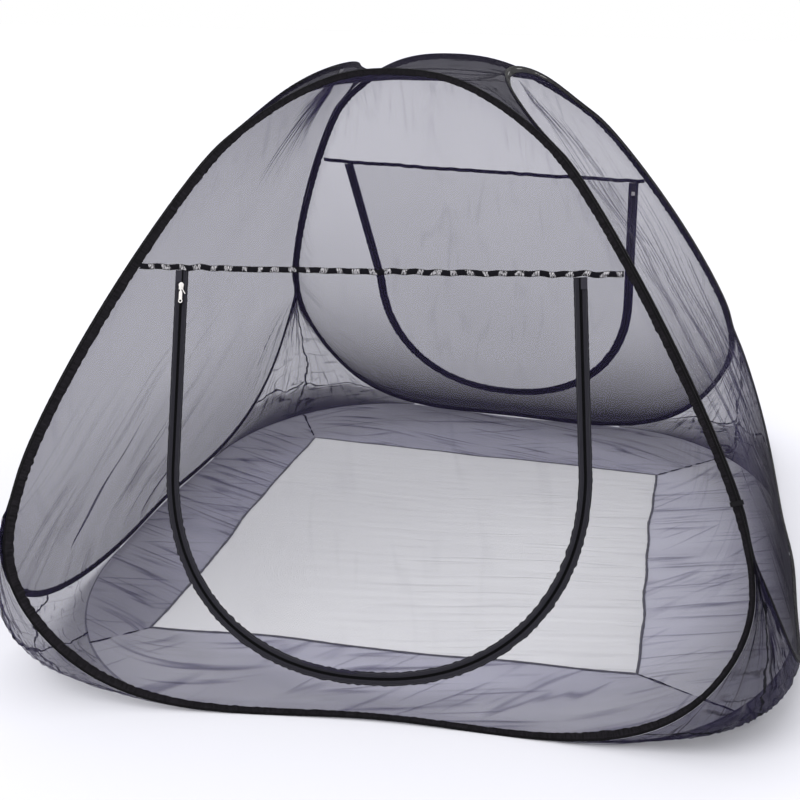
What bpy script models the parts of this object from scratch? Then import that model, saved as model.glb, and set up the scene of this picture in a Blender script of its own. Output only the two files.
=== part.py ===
"""Pop-up mosquito net tent for a double bed.

Four sprung wire loops in fabric binding stand as a rounded pyramid. Netting fills each loop, the
roof and the four floor corners, and the floor is netting round a plain woven panel. The front and
back walls each have a ribbon across them and, under it, a door flap held by a U-shaped zip.

Units are metres, +Z is up, the front door faces -Y. Each moving group hangs on an empty that
stands on its joint's axis.
"""

import math

import bmesh
import bpy
import numpy as np

# Standing frame, over the wire loops as first drawn, before the net is pitched.
BASE_WIDTH = 2.0
BASE_LENGTH = 2.3
LOOP_HEIGHT = 1.43

# How the pitched net leans: the roof shifts, and the left side stands longer than the right.
ROOF_SHIFT_X = -0.14
ROOF_SHIFT_Y = -0.054
SIDE_TAPER_SHARE = 0.074

# A quarter of a door loop, from its bottom middle to its top: shares of half the width, half the
# length and the height.
DOOR_LOOP_SHARES = (
    (0.0, 0.993, 0.0),
    (0.41, 1.013, 0.0),
    (0.682, 1.03, 0.065),
    (0.843, 1.0, 0.222),
    (0.849, 0.936, 0.319),
    (0.793, 0.842, 0.446),
    (0.463, 0.498, 0.843),
    (0.382, 0.437, 0.899),
    (0.162, 0.347, 0.985),
    (0.0, 0.333, 1.0),
)
# A quarter of a side loop below the corner seam, and above it.
SIDE_FOOT_SHARES = (
    (0.999, 0.0, 0.0),
    (0.988, 0.317, 0.0),
    (0.944, 0.851, 0.12),
    (0.871, 0.945, 0.278),
)
SIDE_TIP_SHARES = ((0.305, 0.344, 0.95), (0.233, 0.0, 0.991))
# The point each binding band faces: shares of half the width, half the length and the height.
DOOR_HUB_SHARES = (0.0, 0.74, 0.42)
SIDE_HUB_SHARES = (0.76, 0.0, 0.42)
KNOT_POWER = 0.75

# Knots of a door loop where it leaves the floor, joins its neighbour, parts from it and peaks.
FLOOR_KNOT, JOIN_KNOT, PART_KNOT, TOP_KNOT = 1, 4, 7, 9
RIBBON_SEARCH = (5, 7)
# Segments from the bottom middle to the floor knot, the join, the ribbon, the parting and the top.
HALF_COUNTS = (2, 8, 4, 3, 4)
GROUND, JOIN, RIBBON, PART, TOP = np.cumsum(HALF_COUNTS).tolist()
STATIONS = 2 * TOP

# Doors in their own plane: places across of the left and right legs, the legs' length, the
# door's depth, and how far each leg drifts across on its way down. Places across are shares of
# half the ribbon, and places down are shares of the drop from the ribbon to the bottom binding.
FRONT_DOOR_SHARES = (-0.769, 0.784, 0.459, 0.932, 0.0, 0.044)
BACK_DOOR_SHARES = (-0.882, 0.794, 0.454, 0.903, 0.0, -0.122)
# Where the ribbon's left and right ends are up the loop, as shares of its height.
FRONT_RIBBON_SHARES = (0.673, 0.697)
BACK_RIBBON_SHARES = (0.723, 0.709)

# Spring wire, its crimp ferrule, and the fabric binding round both.
WIRE_RADIUS = 0.0012
WIRE_END_GAP = 0.001
WIRE_SIDES = 6
FERRULE_BORE_RADIUS = 0.00135
FERRULE_RADIUS = 0.002
FERRULE_LENGTH = 0.03
FERRULE_SIDES = 8
BINDING_CHANNEL = 0.0032
BINDING_THICKNESS = 0.0008
BINDING_WIDTH = 0.020
SEAM_OFFSET_SHARE = 1.3
NET_THICKNESS = 0.001
NET_SLOT_CLEARANCE = 0.0008
NET_TUCK = 0.011
NET_LANDING = 0.007
CLEARANCE = 0.0003
EDGE_CLEARANCE = 0.0007

# Zip doors, in the plane of each door: across from left to right seen from outside, and down
# from the ribbon's lower edge.
TAPE_THICKNESS = 0.0008
TAPE_WIDTH = 0.0127
COIL_WIDTH = 0.0022
COIL_HEIGHT = 0.0024
COIL_GAP = 0.0008
TAPE_REST = 0.0008
NET_SETBACK = 0.008
RIBBON_WIDTH = 0.014
RIBBON_THICKNESS = 0.0012
FLAP_TOP_GAP = 0.001
HINGE_DROP = 0.0004
HINGE_OUT = 0.0022
TAPE_TOP_GAP = 0.005
BOTTOM_POWER = 2.2
LEG_SEGMENTS = 4
BOW_SEGMENTS = 20

# Zip slider with its bail, and the pull that hangs in it.
SLIDER_TOP = 0.036
SLIDER_LENGTH = 0.014
SLIDER_HALF_WIDTH = 0.0055
SLIDER_PLATE = 0.0012
SLIDER_BRIDGE = 0.001
SLIDER_FLANGE = 0.0016
SLIDER_LIP = 0.0006
SLIDER_CLEARANCE = 0.0004
BAIL_WIDTH = 0.002
BAIL_THICKNESS = 0.0008
BAIL_LENGTH = 0.006
BAIL_SINK = 0.0006
BAR_THICKNESS = 0.0012
PULL_WIDTH = 0.008
PULL_ARM = 0.0022
PULL_NECK = 0.006
PULL_SHOULDER = 0.026
PULL_WINDOW = 0.004
PULL_FOOT = 0.004
END_TAB_LENGTH = 0.026
END_TAB_THICKNESS = 0.001

# Floor: a plain panel in the middle, a hem over its seam, and four netting strips round it.
PANEL_WIDTH = 1.27
PANEL_LENGTH = 1.47
PANEL_SHIFT_X = -0.06
PANEL_SHIFT_Y = -0.07
HEM_WIDTH = 0.010
HEM_THICKNESS = 0.001
FLOOR_THICKNESS = 0.001
FLOOR_EDGE_SHARE = 0.55
CORNER_SEGMENTS = 6
STRIP_ROWS = 2

# Netting outside the loops, and how the sheets are drawn: rows of a wall and a flap on the way to
# the door or the middle, and the folds of the side walls.
NOTCH_SETBACK = 0.002
GUSSET_COLUMNS = 4
GUSSET_INSET = 0.004
ROOF_SAG = 0.012
TIGHTENING_ROUNDS = 300
WALL_ROW_SHARES = (0.35, 0.7)
FLAP_ROW_SHARE = 0.5
FOLD_COLUMNS = 10
FOLD_DEPTH = 0.008

# Fold lines, off the chords of the corner seams: where a corner closes and where it opens.
CLOSING_AXIS_OUTSET = -0.01
OPENING_AXIS_OUTSET = 0.05

# Tie tab sewn on the front binding at the right leg.
TAB_LENGTH = 0.03
TAB_WIDTH = 0.011
TAB_THICKNESS = 0.0012

BEAD_REACH = BINDING_CHANNEL + BINDING_THICKNESS * math.sqrt(2)
SEAM_OFFSET = BEAD_REACH * SEAM_OFFSET_SHARE
NET_EDGE = BEAD_REACH + EDGE_CLEARANCE
SLOT_HALF = NET_THICKNESS / 2 + NET_SLOT_CLEARANCE
TAPE_INNER = COIL_GAP + COIL_WIDTH + CLEARANCE
TAPE_OUTER = TAPE_INNER + TAPE_WIDTH
TAPE_LOW = TAPE_REST
TAPE_HIGH = TAPE_REST + TAPE_THICKNESS
COIL_LOW = (TAPE_LOW + TAPE_HIGH - COIL_HEIGHT) / 2
COIL_HIGH = COIL_LOW + COIL_HEIGHT
RIBBON_LOW = NET_THICKNESS / 2 + CLEARANCE
SLIDER_BOTTOM = SLIDER_TOP + SLIDER_LENGTH
SLIDER_MIDDLE = SLIDER_TOP + SLIDER_LENGTH / 2
SLIDER_LOW = COIL_LOW - SLIDER_CLEARANCE
SLIDER_HIGH = COIL_HIGH + SLIDER_CLEARANCE
BAIL_RISE = BAR_THICKNESS * math.sqrt(2) + 2 * CLEARANCE
PULL_OUT = SLIDER_HIGH + SLIDER_PLATE + BAIL_RISE / 2


def unit(vectors):
    """Vectors of length one along the given ones."""
    vectors = np.asarray(vectors, dtype=float)
    return vectors / np.linalg.norm(vectors, axis=-1, keepdims=True)


def scaled(shares, x_sign=1, y_sign=1):
    """A point of the unpitched frame from its shares, in the quarter that the signs pick."""
    half = (BASE_WIDTH / 2 * x_sign, BASE_LENGTH / 2 * y_sign, LOOP_HEIGHT)
    return np.array(shares) * half


def pitched(point):
    """Where a point of the frame stands once the net is pitched."""
    x, y, z = point
    rise = z / LOOP_HEIGHT
    taper = 1 - SIDE_TAPER_SHARE * x / (BASE_WIDTH / 2)
    return np.array((x + ROOF_SHIFT_X * rise, y * taper + ROOF_SHIFT_Y * rise, z))


class ClosedCurve:
    """A smooth closed curve through control points, read at a knot number."""

    def __init__(self, controls):
        self.controls = np.array(controls)
        ahead = np.roll(self.controls, -1, axis=0)
        self.steps = np.linalg.norm(ahead - self.controls, axis=1) ** KNOT_POWER
        count = len(self.controls)
        slopes = (ahead - self.controls) / self.steps[:, None]
        system = np.zeros((count, count))
        for knot in range(count):
            before, here = self.steps[knot - 1], self.steps[knot]
            system[knot, knot - 1] += before
            system[knot, knot] += 2 * (before + here)
            system[knot, (knot + 1) % count] += here
        self.bends = np.linalg.solve(system, 6 * (slopes - np.roll(slopes, 1, axis=0)))

    def _span(self, knot):
        first = int(math.floor(knot)) % len(self.controls)
        after = (first + 1) % len(self.controls)
        return first, after, knot - math.floor(knot)

    def at(self, knot):
        """The curve's point at a knot number, which may lie between two knots."""
        first, after, share = self._span(knot)
        left = 1 - share
        bend = (left**3 - left) * self.bends[first] + (share**3 - share) * self.bends[after]
        straight = left * self.controls[first] + share * self.controls[after]
        return straight + bend * self.steps[first] ** 2 / 6

    def direction(self, knot):
        """The curve's direction at a knot number."""
        first, after, share = self._span(knot)
        left = 1 - share
        bend = (1 - 3 * left**2) * self.bends[first] + (3 * share**2 - 1) * self.bends[after]
        chord = (self.controls[after] - self.controls[first]) / self.steps[first]
        return unit(chord + bend * self.steps[first] / 6)

    def knot_at_height(self, height, low, high):
        """The knot number between two others where the curve passes a height."""
        rising = self.at(high)[2] > self.at(low)[2]
        for _ in range(40):
            middle = (low + high) / 2
            if (self.at(middle)[2] < height) == rising:
                low = middle
            else:
                high = middle
        return (low + high) / 2


class Loop:
    """One wire loop: its stations, and the directions of its binding band at each."""

    def __init__(self, name, curve, knots, hub, outward):
        self.name = name
        self.base = np.array([curve.at(knot) for knot in knots])
        self.along = np.array([curve.direction(knot) for knot in knots])
        toward = hub - self.base
        toward -= np.sum(toward * self.along, axis=1)[:, None] * self.along
        self.inward = unit(toward)
        self.normal = np.cross(self.along, self.inward) * outward

    @property
    def wire(self):
        """The wire's centre line."""
        return self.base + SEAM_OFFSET * self.inward

    def offset(self, inward, normal=0.0):
        """Points at a distance into the loop and off its surface, from the wire."""
        return self.wire + inward * self.inward + normal * self.normal

    def section_line(self, profile):
        """The sections that a profile of (inward, normal) points makes round the loop."""
        return np.stack([self.offset(inward, normal) for inward, normal in profile], axis=1)


def station(index, side):
    """The station on the half of a loop that a side's sign picks."""
    return index if side > 0 else (STATIONS - index) % STATIONS


def run_of_knots(keys, counts):
    """Knot numbers from the first key to the last, evenly spaced between neighbours."""
    knots = [float(keys[0])]
    for low, high, count in zip(keys, keys[1:], counts):
        knots += [low + (high - low) * step / count for step in range(1, count + 1)]
    return knots


def door_loop(name, y_sign, left_share, right_share):
    """The front or back loop, with a station where each ribbon end meets it."""
    right = [pitched(scaled(row, 1, y_sign)) for row in DOOR_LOOP_SHARES]
    left = [pitched(scaled(row, -1, y_sign)) for row in DOOR_LOOP_SHARES[-2:0:-1]]
    curve = ClosedCurve(right + left)
    knot_count = len(right + left)
    low, high = RIBBON_SEARCH
    halves = []
    for share, ends in ((right_share, (low, high)), (left_share, (-low, -high))):
        reach = [knot_count + end if end < 0 else end for end in ends]
        found = curve.knot_at_height(share * LOOP_HEIGHT, *reach)
        ribbon = found if ends[0] > 0 else knot_count - found
        keys = (0, FLOOR_KNOT, JOIN_KNOT, ribbon, PART_KNOT, TOP_KNOT)
        halves.append(run_of_knots(keys, HALF_COUNTS))
    knots = halves[0] + [knot_count - knot for knot in halves[1][-2:0:-1]]
    hub = pitched(scaled(DOOR_HUB_SHARES, 1, y_sign))
    return Loop(name, curve, knots, hub, -y_sign)


def side_loop(name, x_sign, front, back):
    """The left or right loop, sewn to the front and back loops along the corner seams."""
    seam = range(JOIN, PART + 1)
    front_seam = [front.base[station(index, x_sign)] for index in seam]
    back_seam = [back.base[station(index, x_sign)] for index in seam]
    feet = [pitched(scaled(row, x_sign, -1)) for row in SIDE_FOOT_SHARES]
    tips = [pitched(scaled(row, x_sign, -1)) for row in SIDE_TIP_SHARES]
    back_tip = pitched(scaled(SIDE_TIP_SHARES[0], x_sign, 1))
    back_feet = [pitched(scaled(row, x_sign, 1)) for row in SIDE_FOOT_SHARES[:0:-1]]
    controls = feet + front_seam + tips + [back_tip] + back_seam[::-1] + back_feet
    curve = ClosedCurve(controls)
    join = len(feet)
    part = join + PART - JOIN
    top = part + len(tips)
    keys = (0, FLOOR_KNOT, join, part, top)
    counts = (HALF_COUNTS[0], HALF_COUNTS[1], PART - JOIN, HALF_COUNTS[4])
    half = run_of_knots(keys, counts)
    knots = half + [len(controls) - knot for knot in half[-2:0:-1]]
    return Loop(name, curve, knots, pitched(scaled(SIDE_HUB_SHARES, x_sign, 1)), -x_sign)


WIRE_PROFILE = [
    (
        WIRE_RADIUS * math.cos(math.tau * side / WIRE_SIDES),
        WIRE_RADIUS * math.sin(math.tau * side / WIRE_SIDES),
    )
    for side in range(WIRE_SIDES)
]
BINDING_PROFILE = [
    (BINDING_WIDTH, SLOT_HALF),
    (BINDING_WIDTH, SLOT_HALF + BINDING_THICKNESS),
    (0.0, BEAD_REACH),
    (-BEAD_REACH, 0.0),
    (0.0, -BEAD_REACH),
    (BINDING_WIDTH, -SLOT_HALF - BINDING_THICKNESS),
    (BINDING_WIDTH, -SLOT_HALF),
    (0.0, -BINDING_CHANNEL),
    (-BINDING_CHANNEL, 0.0),
    (0.0, BINDING_CHANNEL),
]


def material(name, colour, roughness, metallic=0.0):
    """A plain finish."""
    made = bpy.data.materials.new(name)
    made.use_nodes = True
    shader = made.node_tree.nodes["Principled BSDF"]
    shader.inputs["Base Color"].default_value = (*colour, 1.0)
    shader.inputs["Roughness"].default_value = roughness
    shader.inputs["Metallic"].default_value = metallic
    return made


def add_object(name, vertices, faces, finish, thickness=0.0, holder=None):
    """A named object from world points, thickened both ways where it is a sheet."""
    mesh = bpy.data.meshes.new(name)
    mesh.from_pydata([tuple(vertex) for vertex in vertices], [], faces)
    work = bmesh.new()
    work.from_mesh(mesh)
    bmesh.ops.recalc_face_normals(work, faces=work.faces)
    work.to_mesh(mesh)
    work.free()
    mesh.materials.append(finish)
    part = bpy.data.objects.new(name, mesh)
    bpy.context.collection.objects.link(part)
    if thickness:
        solidify = part.modifiers.new("Thickness", "SOLIDIFY")
        solidify.thickness = thickness
        solidify.offset = 0.0
    if holder:
        part.parent = holder
        part.matrix_parent_inverse = holder.matrix_world.inverted()
    return part


def add_axis(name, point, axis, holder=None):
    """An empty on a joint's axis, with its own Z along that axis."""
    empty = bpy.data.objects.new(name, None)
    empty.empty_display_type = "ARROWS"
    empty.empty_display_size = SLIDER_LENGTH
    bpy.context.collection.objects.link(empty)
    x, y, z = axis
    turn = math.atan2(y, x)
    tilt = math.acos(z)
    empty.rotation_euler = (0.0, tilt, turn)
    empty.location = point
    bpy.context.view_layer.update()
    if holder:
        empty.parent = holder
        empty.matrix_parent_inverse = holder.matrix_world.inverted()
        bpy.context.view_layer.update()
    return empty


def skin(sections, closed):
    """Faces between neighbouring closed sections, with the two ends filled where open."""
    count, sides = sections.shape[:2]
    vertices = sections.reshape(-1, 3)
    faces = []
    for row in range(count if closed else count - 1):
        after = (row + 1) % count
        for side in range(sides):
            other = (side + 1) % sides
            faces.append(
                (row * sides + side, after * sides + side, after * sides + other, row * sides + other)
            )
    if not closed:
        faces.append(tuple(range(sides)))
        faces.append(tuple(range((count - 1) * sides, count * sides)))
    return vertices, faces


def ring_sheet(rings, hub=None):
    """Faces between rings of equally many points, with a fan to the hub inside the last."""
    count = len(rings[0])
    vertices = [point for ring in rings for point in ring]
    faces = []
    for row in range(len(rings) - 1):
        for index in range(count):
            after = (index + 1) % count
            faces.append(
                (
                    row * count + index,
                    row * count + after,
                    (row + 1) * count + after,
                    (row + 1) * count + index,
                )
            )
    if hub is not None:
        vertices.append(hub)
        last = (len(rings) - 1) * count
        for index in range(count):
            faces.append((last + index, last + (index + 1) % count, len(vertices) - 1))
    return vertices, faces


def row_sheet(rows):
    """Faces between rows of equally many points."""
    width = len(rows[0])
    vertices = [point for row in rows for point in row]
    faces = [
        (row * width + i, row * width + i + 1, (row + 1) * width + i + 1, (row + 1) * width + i)
        for row in range(len(rows) - 1)
        for i in range(width - 1)
    ]
    return vertices, faces


def between(start, end, share):
    """The points at a share of the way from some points to others."""
    return start + (end - start) * share


class DoorWall:
    """The plane of a door: places across it, down it and out of it."""

    def __init__(self, loop, outer_left, shares):
        left = loop.base[station(RIBBON, outer_left)]
        right = loop.base[station(RIBBON, -outer_left)]
        self.loop = loop
        self.outer_left = outer_left
        self.middle = (left + right) / 2
        self.across = unit(right - left)
        self.half_ribbon = np.linalg.norm(right - left) / 2
        foot = loop.offset(BINDING_WIDTH)[0] - self.middle
        self.down = unit(foot - np.dot(foot, self.across) * self.across)
        self.out = np.cross(self.down, self.across)
        half, drop = self.half_ribbon, np.dot(foot, self.down)
        self.sizes = np.array(shares) * (half, half, drop, drop, half, half)

    def place(self, across, down, out=0.0):
        """A world point from places across, down and out of the door plane."""
        return self.middle + across * self.across + down * self.down + out * self.out

    def places(self, outline, out=0.0):
        """World points of an outline in the door plane."""
        return np.array([self.place(across, down, out) for across, down in outline])

    def zip_line(self, left_top=0.0, right_top=0.0):
        """The zip's centre line in the plane, and its outward directions there."""
        left, right, leg, depth, left_drift, right_drift = self.sizes
        points = []
        for step in range(LEG_SEGMENTS):
            down = between(left_top, leg, step / LEG_SEGMENTS)
            points.append((left + left_drift * down / leg, down))
        low_left, low_right = left + left_drift, right + right_drift
        centre, half = (low_left + low_right) / 2, (low_right - low_left) / 2
        for step in range(BOW_SEGMENTS + 1):
            angle = math.pi * step / BOW_SEGMENTS
            sweep, dip = -math.cos(angle), math.sin(angle)
            across = centre + half * math.copysign(abs(sweep) ** (2 / BOTTOM_POWER), sweep)
            points.append((across, leg + (depth - leg) * dip ** (2 / BOTTOM_POWER)))
        for step in range(LEG_SEGMENTS - 1, -1, -1):
            down = between(right_top, leg, step / LEG_SEGMENTS)
            points.append((right + right_drift * down / leg, down))
        line = np.array(points)
        steps = unit(np.diff(line, axis=0))
        before = np.vstack([steps[:1], steps])
        after = np.vstack([steps, steps[-1:]])
        ahead = unit(before + after)
        return line, np.stack([-ahead[:, 1], ahead[:, 0]], axis=1)

    def leg(self, side, down):
        """The zip leg's place across, at a place down, on the left (-1) or right (1)."""
        left, right, leg, _, left_drift, right_drift = self.sizes
        if side < 0:
            return left + left_drift * down / leg
        return right + right_drift * down / leg

    def lip(self, side, down):
        """The place across of the binding's inner edge, at a place down, on one side."""
        edge = self.loop.offset(BINDING_WIDTH) - self.middle
        half = range(RIBBON - 1, PART)
        picked = [station(index, side * -self.outer_left) for index in half]
        across = [np.dot(edge[index], self.across) for index in picked]
        downs = [np.dot(edge[index], self.down) for index in picked]
        return float(np.interp(-down, [-place for place in downs], across))

    def slab(self, name, corners, low, high, finish, holder):
        """A flat plate from its corners in the plane, between two places out of it."""
        sections = np.array([self.places(corners, low), self.places(corners, high)])
        return add_object(name, *skin(sections, False), finish, holder=holder)

    def strip(self, name, span, rise, tops, finish, holder):
        """A strip that follows the zip, from one distance off its centre line to another."""
        line, away = self.zip_line(*tops)
        (near, far), (low, high) = span, rise
        profile = ((near, low), (far, low), (far, high), (near, high))
        sections = np.stack(
            [
                np.array(
                    [
                        self.place(point[0] + side[0] * reach, point[1] + side[1] * reach, out)
                        for point, side in zip(line, away)
                    ]
                )
                for reach, out in profile
            ],
            axis=1,
        )
        return add_object(name, *skin(sections, False), finish, holder=holder)

    def outline(self, reach, corner, crown):
        """A closed outline off the zip's centre line, with its top edge along the ribbon."""
        line, away = self.zip_line()
        low = line + away * reach
        low[0, 1], low[-1, 1] = corner, corner
        edge = 2 * (TOP - RIBBON)
        upper = [between(low[-1], low[0], step / edge) for step in range(1, edge)]
        for point in upper:
            point[1] = crown
        ring = np.array(list(low) + upper)
        middle = len(line) // 2
        ring = np.roll(ring, -middle, axis=0)
        if self.outer_left > 0:
            ring = np.roll(ring[::-1], 1, axis=0)
        return self.places(ring)


def add_wire(loop, finish, holder):
    """The spring wire of a loop, open at the bottom middle, and the ferrule over its ends."""
    sections = loop.section_line(WIRE_PROFILE)
    step = WIRE_END_GAP / 2 * loop.along[0]
    opened = np.concatenate([sections[:1] + step, sections[1:], sections[:1] - step])
    add_object(f"{loop.name}_wire", *skin(opened, False), finish, holder=holder)
    rings = []
    ends = [loop.wire[0] + FERRULE_LENGTH / 2 * unit(loop.wire[i] - loop.wire[0]) for i in (-1, 1)]
    path = [ends[0], loop.wire[0], ends[1]]
    lined = [(FERRULE_RADIUS, point) for point in path]
    lined += [(FERRULE_BORE_RADIUS, point) for point in path[::-1]]
    for radius, centre in lined:
        rings.append(
            [
                centre
                + radius * math.cos(math.tau * side / FERRULE_SIDES) * loop.inward[0]
                + radius * math.sin(math.tau * side / FERRULE_SIDES) * loop.normal[0]
                for side in range(FERRULE_SIDES)
            ]
        )
    vertices, faces = skin(np.array(rings), True)
    add_object(f"{loop.name}_ferrule", vertices, faces, finish, holder=holder)


def add_binding(loop, finish, holder):
    """The fabric band folded round the wire, open inwards to take the netting's edge."""
    sections = loop.section_line(BINDING_PROFILE)
    add_object(f"{loop.name}_binding", *skin(sections, True), finish, holder=holder)


def tucked_rings(loop):
    """The netting's rings inside the binding's slot and just clear of it."""
    return [loop.offset(BINDING_WIDTH - NET_TUCK), loop.offset(BINDING_WIDTH + NET_LANDING)]


def add_door_wall(name, wall, finish, holder):
    """The netting of a door loop, from its binding to the zip and the ribbon."""
    outer, inside = tucked_rings(wall.loop)
    landing = wall.outline(NET_SETBACK + TAPE_WIDTH, 0.0, -RIBBON_WIDTH - FLAP_TOP_GAP)
    edge = wall.outline(NET_SETBACK, -FLAP_TOP_GAP, -FLAP_TOP_GAP)
    rings = [outer, inside]
    rings += [between(inside, landing, share) for share in WALL_ROW_SHARES]
    add_object(name, *ring_sheet(rings + [landing, edge]), finish, NET_THICKNESS, holder)


def add_flap(name, wall, finish, holder):
    """The netting of a door flap, inside its zip and below its ribbon."""
    edge = wall.outline(-NET_SETBACK, FLAP_TOP_GAP, FLAP_TOP_GAP)
    landing = wall.outline(-NET_SETBACK - TAPE_WIDTH, TAPE_WIDTH, TAPE_WIDTH)
    hub = landing.mean(axis=0)
    middle = between(landing, hub, FLAP_ROW_SHARE)
    add_object(name, *ring_sheet([edge, landing, middle], hub), finish, NET_THICKNESS, holder)


def tightened(grid):
    """A grid of points, with the inner ones pulled tight between its edges."""
    for _ in range(TIGHTENING_ROUNDS):
        beside = grid[1:-1, :-2] + grid[1:-1, 2:]
        grid[1:-1, 1:-1] = (beside + grid[:-2, 1:-1] + grid[2:, 1:-1]) / 4
    return grid


def add_side_wall(name, loop, finish, holder):
    """The netting of a side loop, tight between its halves, with long folds from foot to tip."""
    outer, inside = tucked_rings(loop)
    columns = range(FOLD_COLUMNS + 1)
    grid = tightened(
        np.array(
            [
                [between(inside[index], inside[-index], column / FOLD_COLUMNS) for column in columns]
                for index in range(TOP + 1)
            ]
        )
    )
    for index in range(1, TOP):
        swell = FOLD_DEPTH * math.sin(math.pi * index / TOP)
        for column in columns[1:-1]:
            grid[index, column] += swell * (-1) ** column * loop.normal[0]
    vertices, faces = ring_sheet([outer, inside])
    first = len(vertices)
    points, quads = row_sheet(grid)
    faces += [tuple(first + corner for corner in quad) for quad in quads]
    part = add_object(name, vertices + points, faces, finish, NET_THICKNESS, holder)
    weld = bmesh.new()
    weld.from_mesh(part.data)
    bmesh.ops.remove_doubles(weld, verts=weld.verts, dist=CLEARANCE)
    bmesh.ops.recalc_face_normals(weld, faces=weld.faces)
    weld.to_mesh(part.data)
    weld.free()


def seam_corner(one, index, other, other_index):
    """The point in the notch where two neighbouring loops part."""
    out = unit(one.inward[index] + other.inward[other_index])
    return one.base[index] - NOTCH_SETBACK * out


def stretched(edges):
    """A square grid of points pulled tight between its four edges."""
    front, back, left, right = edges
    count = len(front)
    grid = np.zeros((count, count, 3))
    for row in range(count):
        for column in range(count):
            across, deep = column / (count - 1), row / (count - 1)
            lengthwise = between(front[column], back[column], deep)
            grid[row, column] = (lengthwise + between(left[row], right[row], across)) / 2
    grid[0], grid[-1], grid[:, 0], grid[:, -1] = front, back, left, right
    return tightened(grid)


def add_roof(loops, finish):
    """The roof netting, between the tops of the four loops."""
    front, back, left, right = loops
    far = STATIONS - PART
    corners = [
        seam_corner(front, far, left, PART),
        seam_corner(front, PART, right, PART),
        seam_corner(back, far, left, far),
        seam_corner(back, PART, right, far),
    ]
    crest = range(PART + 1, far)
    over = {loop.name: [loop.offset(-NET_EDGE)[index] for index in crest] for loop in loops}
    edges = [
        [corners[0], *over[front.name][::-1], corners[1]],
        [corners[2], *over[back.name][::-1], corners[3]],
        [corners[0], *over[left.name], corners[2]],
        [corners[1], *over[right.name], corners[3]],
    ]
    grid = stretched([np.array(edge) for edge in edges])
    count = len(grid)
    for row in range(count):
        for column in range(count):
            sag = math.sin(math.pi * row / (count - 1)) * math.sin(math.pi * column / (count - 1))
            grid[row, column, 2] -= ROOF_SAG * sag
    add_object("roof_net", *row_sheet(grid), finish, NET_THICKNESS)


def floor_edge(loop, index):
    """A point of the floor's outline beside a loop's bottom."""
    across, deep, _ = loop.inward[index]
    level = unit((across, deep, 0.0))
    point = loop.wire[index] + FLOOR_EDGE_SHARE * BEAD_REACH * level
    return np.array((point[0], point[1], FLOOR_THICKNESS / 2))


def corner_arc(start, end, shares):
    """Points of the quarter oval that rounds a floor corner from a door side to a flank."""
    arc = []
    for share in shares:
        angle = math.pi / 2 * share
        x = start[0] + (end[0] - start[0]) * math.sin(angle)
        y = end[1] + (start[1] - end[1]) * math.cos(angle)
        arc.append(np.array((x, y, start[2])))
    return arc


def add_gusset(name, door, x_sign, side, y_sign, finish):
    """The netting of a floor corner, from the notch where two loops part down to the floor."""
    start = floor_edge(door, station(GROUND, x_sign))
    end = floor_edge(side, station(GROUND, -y_sign))
    middle = (start + end) / 2
    lift = np.array((0.0, 0.0, (FLOOR_THICKNESS + NET_THICKNESS) / 2 + CLEARANCE))
    inset = np.array((-x_sign * GUSSET_INSET, -y_sign * GUSSET_INSET, 0.0))
    shares = [column / GUSSET_COLUMNS for column in range(GUSSET_COLUMNS + 1)]
    arc = [point + inset + lift for point in corner_arc(start, end, shares)]
    indices = range(JOIN - 1, GROUND - 1, -1)
    door_edge = door.offset(-NET_EDGE)
    side_edge = side.offset(-NET_EDGE)
    low_door = door_edge[station(GROUND, x_sign)]
    low_side = side_edge[station(GROUND, -y_sign)]
    bulges = [point - between(low_door, low_side, share) for point, share in zip(arc, shares)]
    bulges[0] = bulges[-1] = np.zeros(len(middle))
    rows = []
    for row, index in enumerate(indices, start=1):
        near = door_edge[station(index, x_sign)]
        far = side_edge[station(index, -y_sign)]
        swell = (row / len(indices)) ** 2
        rows.append(
            [between(near, far, share) + swell * bulge for share, bulge in zip(shares, bulges)]
        )
    apex = seam_corner(door, station(JOIN, x_sign), side, station(JOIN, -y_sign))
    vertices, faces = row_sheet(rows)
    vertices.append(apex)
    for column in range(GUSSET_COLUMNS):
        faces.append((column + 1, column, len(vertices) - 1))
    add_object(name, vertices, faces, finish, NET_THICKNESS)


def panel_corners(reach=0.0):
    """The floor panel's corners, front left first, moved outwards by a reach."""
    corners = []
    for x_sign, y_sign in ((-1, -1), (1, -1), (1, 1), (-1, 1)):
        x = PANEL_SHIFT_X + x_sign * PANEL_WIDTH / 2
        taper = 1 - SIDE_TAPER_SHARE * x / (BASE_WIDTH / 2)
        y = PANEL_SHIFT_Y + y_sign * PANEL_LENGTH / 2 * taper
        corners.append(np.array((x + x_sign * reach, y + y_sign * reach, 0.0)))
    return corners


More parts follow.
